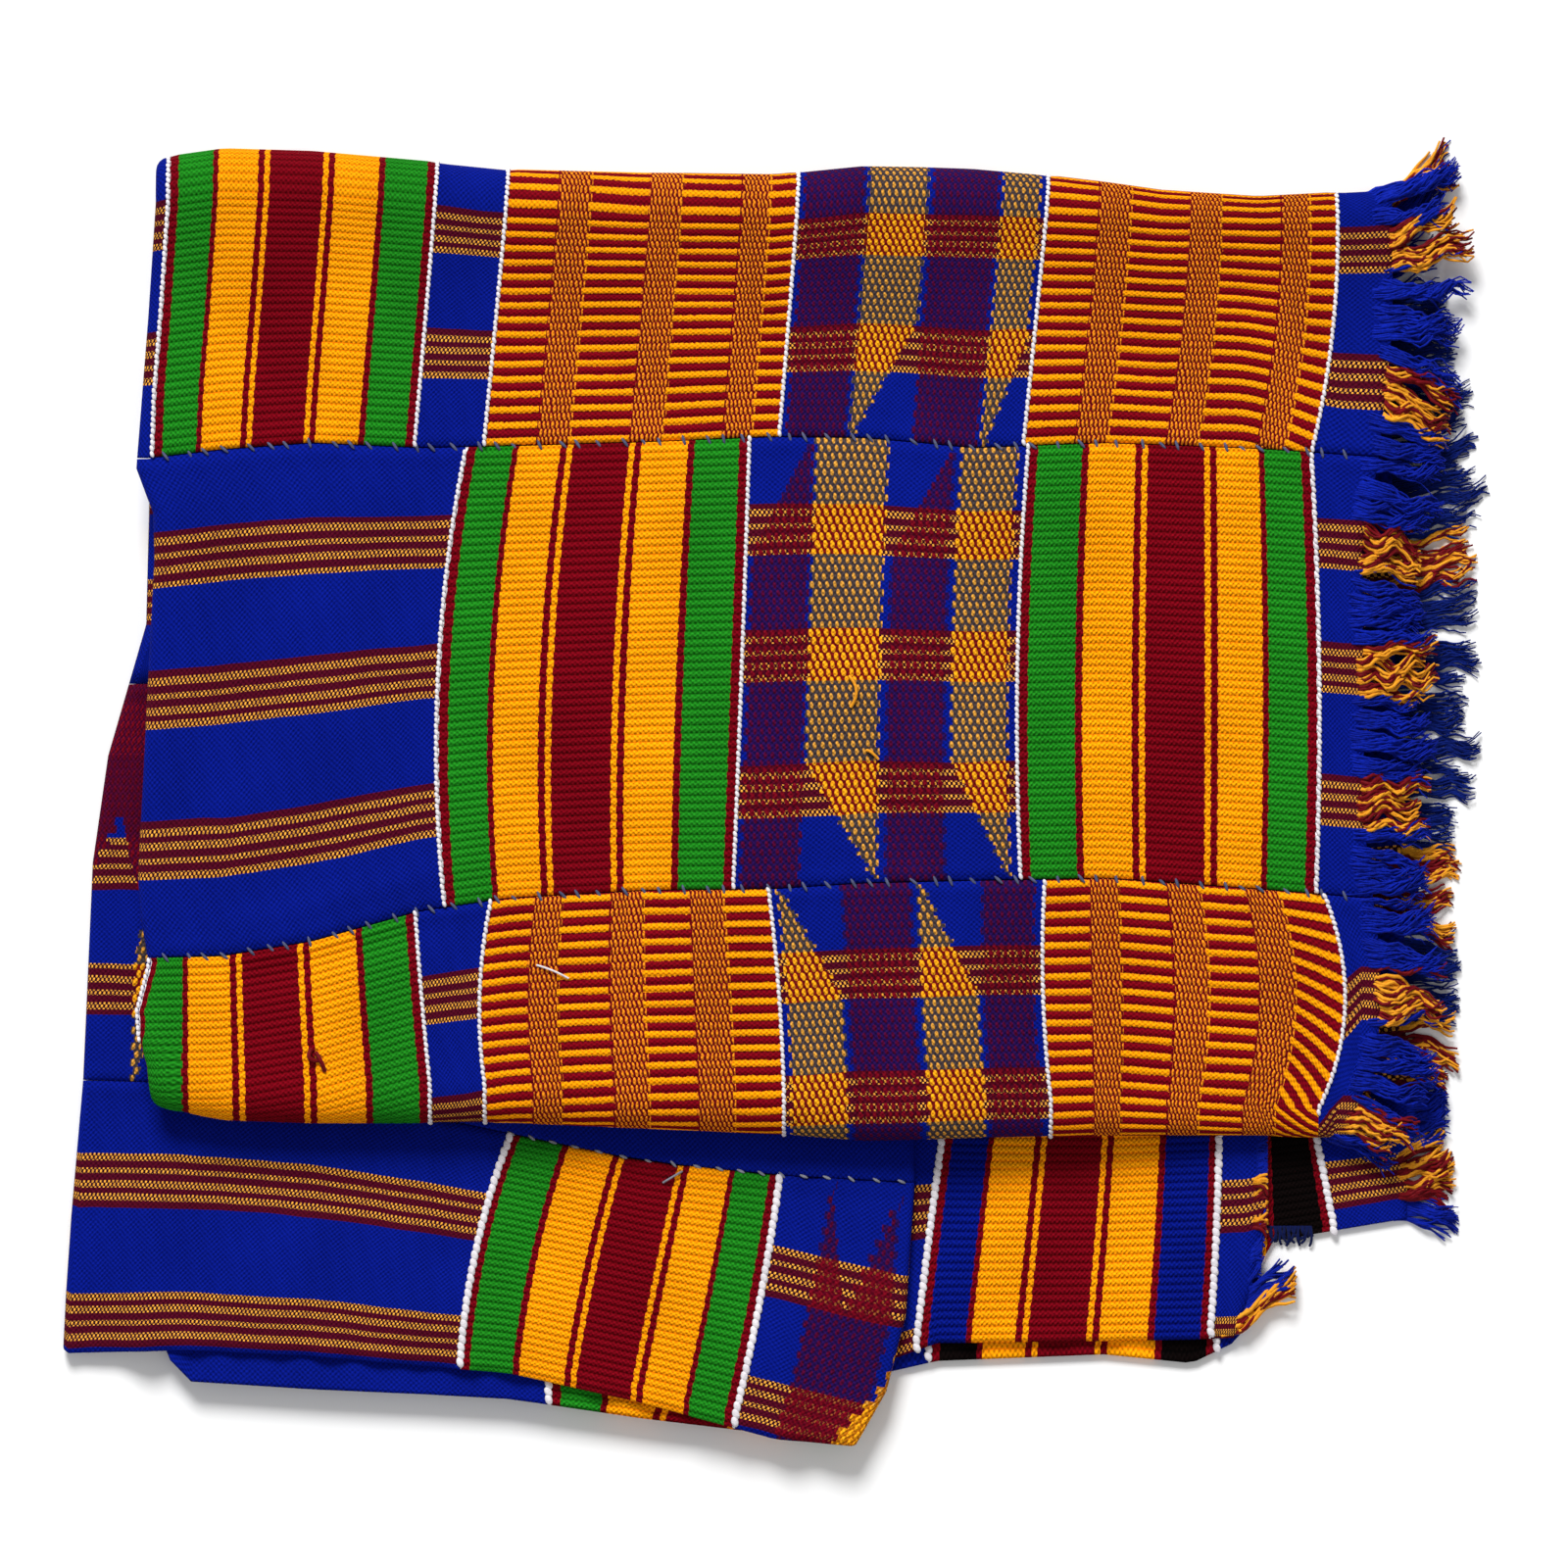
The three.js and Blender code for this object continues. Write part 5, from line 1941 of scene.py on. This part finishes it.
@dataclass(frozen=True)
class LooseThreads:
    """A few ends of pale, gold and maroon thread that stand loose on the cloth."""

    name: str = "loose_threads"
    threads: tuple[Thread, ...] = (
        Thread(0, 0.24, Layer.OUTER_RIGHT, ((-53.8, -38.8, 0.1), (-50.2, -40.0, 0.7), (-46.6, -41.8, 0.1))),
        Thread(1, 0.38, Layer.OUTER_RIGHT, ((16.9, 26.7, 0.1), (18.6, 23.3, 0.7), (17.3, 19.6, 0.1))),
        Thread(1, 0.34, Layer.OUTER_RIGHT, ((20.9, 9.8, 0.1), (22.0, 9.4, 0.6), (23.6, 7.8, 0.1))),
        Thread(2, 0.5, Layer.OUTER_RIGHT, ((-104.8, -57.8, 0.0), (-105.2, -59.8, 0.9), (-103.0, -60.4, 0.2))),
        Thread(2, 0.5, Layer.OUTER_RIGHT, ((-103.8, -58.6, 0.1), (-102.6, -60.6, 0.9), (-101.8, -62.8, 0.0))),
    )

    def build(self, trees: RepeatTrees, yarns: Sequence[Material]) -> Object:
        """Draws the threads.

        Args:
            trees: The geometry trees.
            yarns: The first, gold and maroon thread, by tone.

        Returns:
            The threads as one piece.
        """
        paths = [thread.path() for thread in self.threads]
        thickness = [np.full(len(path), thread.radius * MM) for path, thread in zip(paths, self.threads)]
        mesh = path_mesh(self.name, paths, thickness, [thread.tone for thread in self.threads])
        return grow(self.name, mesh, trees.yarns, sides=6, **dict(zip(TONES, yarns)))


@dataclass(frozen=True)
class SoftLight:
    """A round soft light: its place, how wide it is, and its power in watts."""

    name: str
    place: tuple[float, float, float]
    size: float
    power: float

    def build(self) -> None:
        """Hangs the light so that it faces the cloth."""
        data = bpy.data.lights.new(self.name, "AREA")
        data.shape = "DISK"
        data.size = self.size
        data.energy = self.power
        light = place_object(self.name, data)
        light.location = self.place
        light.rotation_mode = "QUATERNION"
        light.rotation_quaternion = (-Vector(self.place)).to_track_quat("-Z", "Y")


@dataclass(frozen=True)
class Studio:
    """The camera straight above the cloth, a pale floor and soft light."""

    aim: tuple[float, float] = (0.002446, 0.003931)
    view_width: float = 0.3556
    lens: float = 300.0
    sensor: float = 36.0
    cloth_top: float = 0.012
    floor_size: float = 6.0
    floor_height: float = -0.0002
    floor_tone: float = 0.93
    floor_roughness: float = 0.9
    sky: float = 0.36
    lights: tuple[SoftLight, ...] = (
        SoftLight("key", (-0.75, 3.15, 2.55), 1.8, 222.0),
        SoftLight("fill", (0.3, -0.8, 1.0), 1.2, 2.6),
    )

    def build(self) -> None:
        """Sets up the floor, the camera, the lights and the world."""
        scene = bpy.context.scene
        half = self.floor_size / 2
        corners = [(-half, -half), (half, -half), (half, half), (-half, half)]
        mesh = bpy.data.meshes.new("floor")
        mesh.from_pydata([(x, y, self.floor_height) for x, y in corners], [], [(0, 1, 2, 3)])
        pale = bpy.data.materials.new("pale_floor")
        pale.use_nodes = True
        shader = pale.node_tree.nodes["Principled BSDF"]
        shader.inputs["Base Color"].default_value = (*[self.floor_tone] * 3, 1.0)
        shader.inputs["Roughness"].default_value = self.floor_roughness
        mesh.materials.append(pale)
        place_object("floor", mesh)
        camera_data = bpy.data.cameras.new("camera")
        camera_data.lens = self.lens
        camera_data.sensor_width = self.sensor
        camera = place_object("camera", camera_data)
        camera.location = (*self.aim, self.cloth_top + self.view_width * self.lens / self.sensor)
        scene.camera = camera
        for light in self.lights:
            light.build()
        world = bpy.data.worlds.new("soft_white")
        world.use_nodes = True
        sky = world.node_tree.nodes["Background"]
        sky.inputs["Color"].default_value = (1.0, 1.0, 1.0, 1.0)
        sky.inputs["Strength"].default_value = self.sky
        scene.world = world
        scene.view_settings.view_transform = "Standard"


class FoldedCloth:
    """The whole cloth: its strips, picks, seams and fringes."""

    def __init__(self) -> None:
        """Lays out the strips from the innermost to the flap."""
        full = (0.100, 0.87)
        self.strips = [
            WovenStrip("inner", -200, -100, hidden_runs(hidden(), hidden()), full, rests_on=("cloth_back_upper",)),
            WovenStrip("lower", -100, 0, hidden_runs(LOWER_RUN, hidden()), full, -66, 0, lean=lower_lean,
                       weaves={Layer.OUTER_RIGHT: ((-100, -9), (-65, 26), (-49, 51), (0, 100))},
                       picks_from=-60, fold_pick_from=-38, rests_on=("cloth_inner", "cloth_back_lower")),
            WovenStrip("middle", 0, 100, hidden_runs(MIDDLE_RUN, hidden()), full, 0, 100, rests_on=("cloth_inner",)),
            # The upper strip carries painted shade that darkens it towards its top fold
            WovenStrip("upper", 100, 200, hidden_runs(UPPER_RUN, hidden()), full, 100, 182, lean=upper_lean,
                       picks_to=168, painted_top_shade=0.15, rests_on=("cloth_back_upper",)),
            WovenStrip("back_upper", 200, 300, hidden_runs(hidden(), left_margin()), full, seam_gap=0.1, weaves={
                Layer.OUTER_RIGHT: ((200, 28), (250, 40), (262, 45.5), (274, 57), (300, 72)),
            }),
            WovenStrip("back_lower", 300, 400, hidden_runs(rolled_margin(), left_margin(Section.MARGIN_MOTIF)),
                       full, 300, 400, fine_row=1.0, seam_gap=0.1, weaves={
                Layer.OUTER_RIGHT: ((300, 30), (351, 51), (391, 79), (400, 86)),
                Layer.OUTER_LEFT: ((300, 11.5), (400, 100)),
            }),
            WovenStrip("flap", 400, 465, FLAP_RUNS, (0.065, 0.87), 400, 465, seam_gap=0.2, lean=flap_lean,
                       weaves={
                Layer.OUTER_RIGHT: ((400, -0.4), (465, 32.6)),
                Layer.OUTER_LEFT: ((400, 0), (465, 58.5)),
                Layer.INNER_LEFT: ((400, 7), (465, 68)),
                Layer.INNER_RIGHT: ((400, -1.1), (465, 50.5)),
            }),
        ]
        self.seams = [
            SeamStitches("stitches_upper", 100, Layer.OUTER_RIGHT, -138, 134),
            SeamStitches("stitches_lower", 0, Layer.OUTER_RIGHT, -138, 130),
            SeamStitches("stitches_flap", 400, Layer.OUTER_LEFT, -60, 30, 5.2, (0.66, 2.1, 0.6), 1.0),
        ]

    def fringes(self) -> list[Fringe]:
        """The fringes at both ends of every strip."""
        combed = {"spacing": 0.5, "crimp": 0.6, "drift": 2.6, "shortest": 0.55, "lock_widths": (2.5, 7.5)}
        made = []
        for strip in self.strips:
            if strip.name in ("lower", "middle", "upper"):
                made.append(Fringe(strip, End.FIRST, 0.45, plies=3, drift=3.4, shortest=0.45,
                                   lock_widths=(2.2, 7.0), tangle=1.0, early=5.0))
            elif strip.name in ("back_lower", "back_upper"):
                made.append(Fringe(strip, End.FIRST, **combed))
            else:
                made.append(Fringe(strip, End.FIRST, 0.4 if strip.name == "flap" else 3.0, plies=3))
            if strip.name == "flap":
                made.append(Fringe(strip, End.SECOND, 0.4, drift=0.8, crimp=0.4, radius=0.42, shortest=0.85))
            else:
                made.append(Fringe(strip, End.SECOND, 4.0, plies=1))
        return made

    def build(self) -> None:
        """Builds and dresses every piece, and sets each on the part."""
        finish = WovenFinish(Weaves())
        trees = RepeatTrees()
        white, slate, grey = (thread.material() for thread in (WHITE_THREAD, SLATE_THREAD, GREY_THREAD))
        yarns = [yarn.material() for yarn in (BLUE_YARN, GOLD_YARN, MAROON_YARN)]
        shaded_blue, shaded_fray = SHADED_BLUE_YARN.material(), SHADED_FRAY_YARN.material()
        made = {strip.name: strip.build(finish) for strip in self.strips}
        for name, piece in made.items():
            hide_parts(f"strip_{name}")
            self._settle(piece, STRIP_SLOT)
        for strip in self.strips:
            if strip.section.picks:
                picks = WhitePicks(1.75, (1.7, 2.55, 0.95), 0.42) if strip.name == "flap" else WhitePicks()
                self._settle(picks.build(strip, trees, white), STRIP_SLOT)
        for seam in self.seams:
            self._settle(seam.build(trees, grey if seam.layer is Layer.OUTER_LEFT else slate), STRIP_SLOT)
        loose = (
            (LooseThreads(), white),
            (LooseThreads("seam_tail", (SEAM_TAIL,)), grey),
            # The frayed yarns take the darker copy of the blue yarn: painted shade
            (LooseThreads("frayed_edge", frayed_edge()), shaded_fray),
        )
        for threads, first in loose:
            self._settle(threads.build(trees, [first, *yarns[1:]]), STRIP_SLOT)
        tassels: dict[str, list[Object]] = {}
        for fringe in self.fringes():
            is_under = fringe.strip.name.startswith("back")
            piece = fringe.build(trees, [shaded_blue, *yarns[1:]] if is_under else yarns)
            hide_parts(fringe.node)
            self._settle(piece, FRINGE_SLOT)
            tassels.setdefault(fringe.strip.name, []).append(piece)
        for strip in self.strips:
            made[strip.name]
            tassels[strip.name]

    @staticmethod
    def _settle(piece: Object, slot: str) -> None:
        """Sets a finished piece on the part and reports it."""
        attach(piece, BODY)
        LOG.info("%s: %d faces", piece.name, len(piece.data.polygons))


def main() -> None:
    """Builds the cloth and its studio, and logs the faces of each piece."""
    logging.basicConfig(level=logging.INFO, format="%(name)s %(message)s")
    Studio().build()
    FoldedCloth().build()


if __name__ == "__main__":
    main()
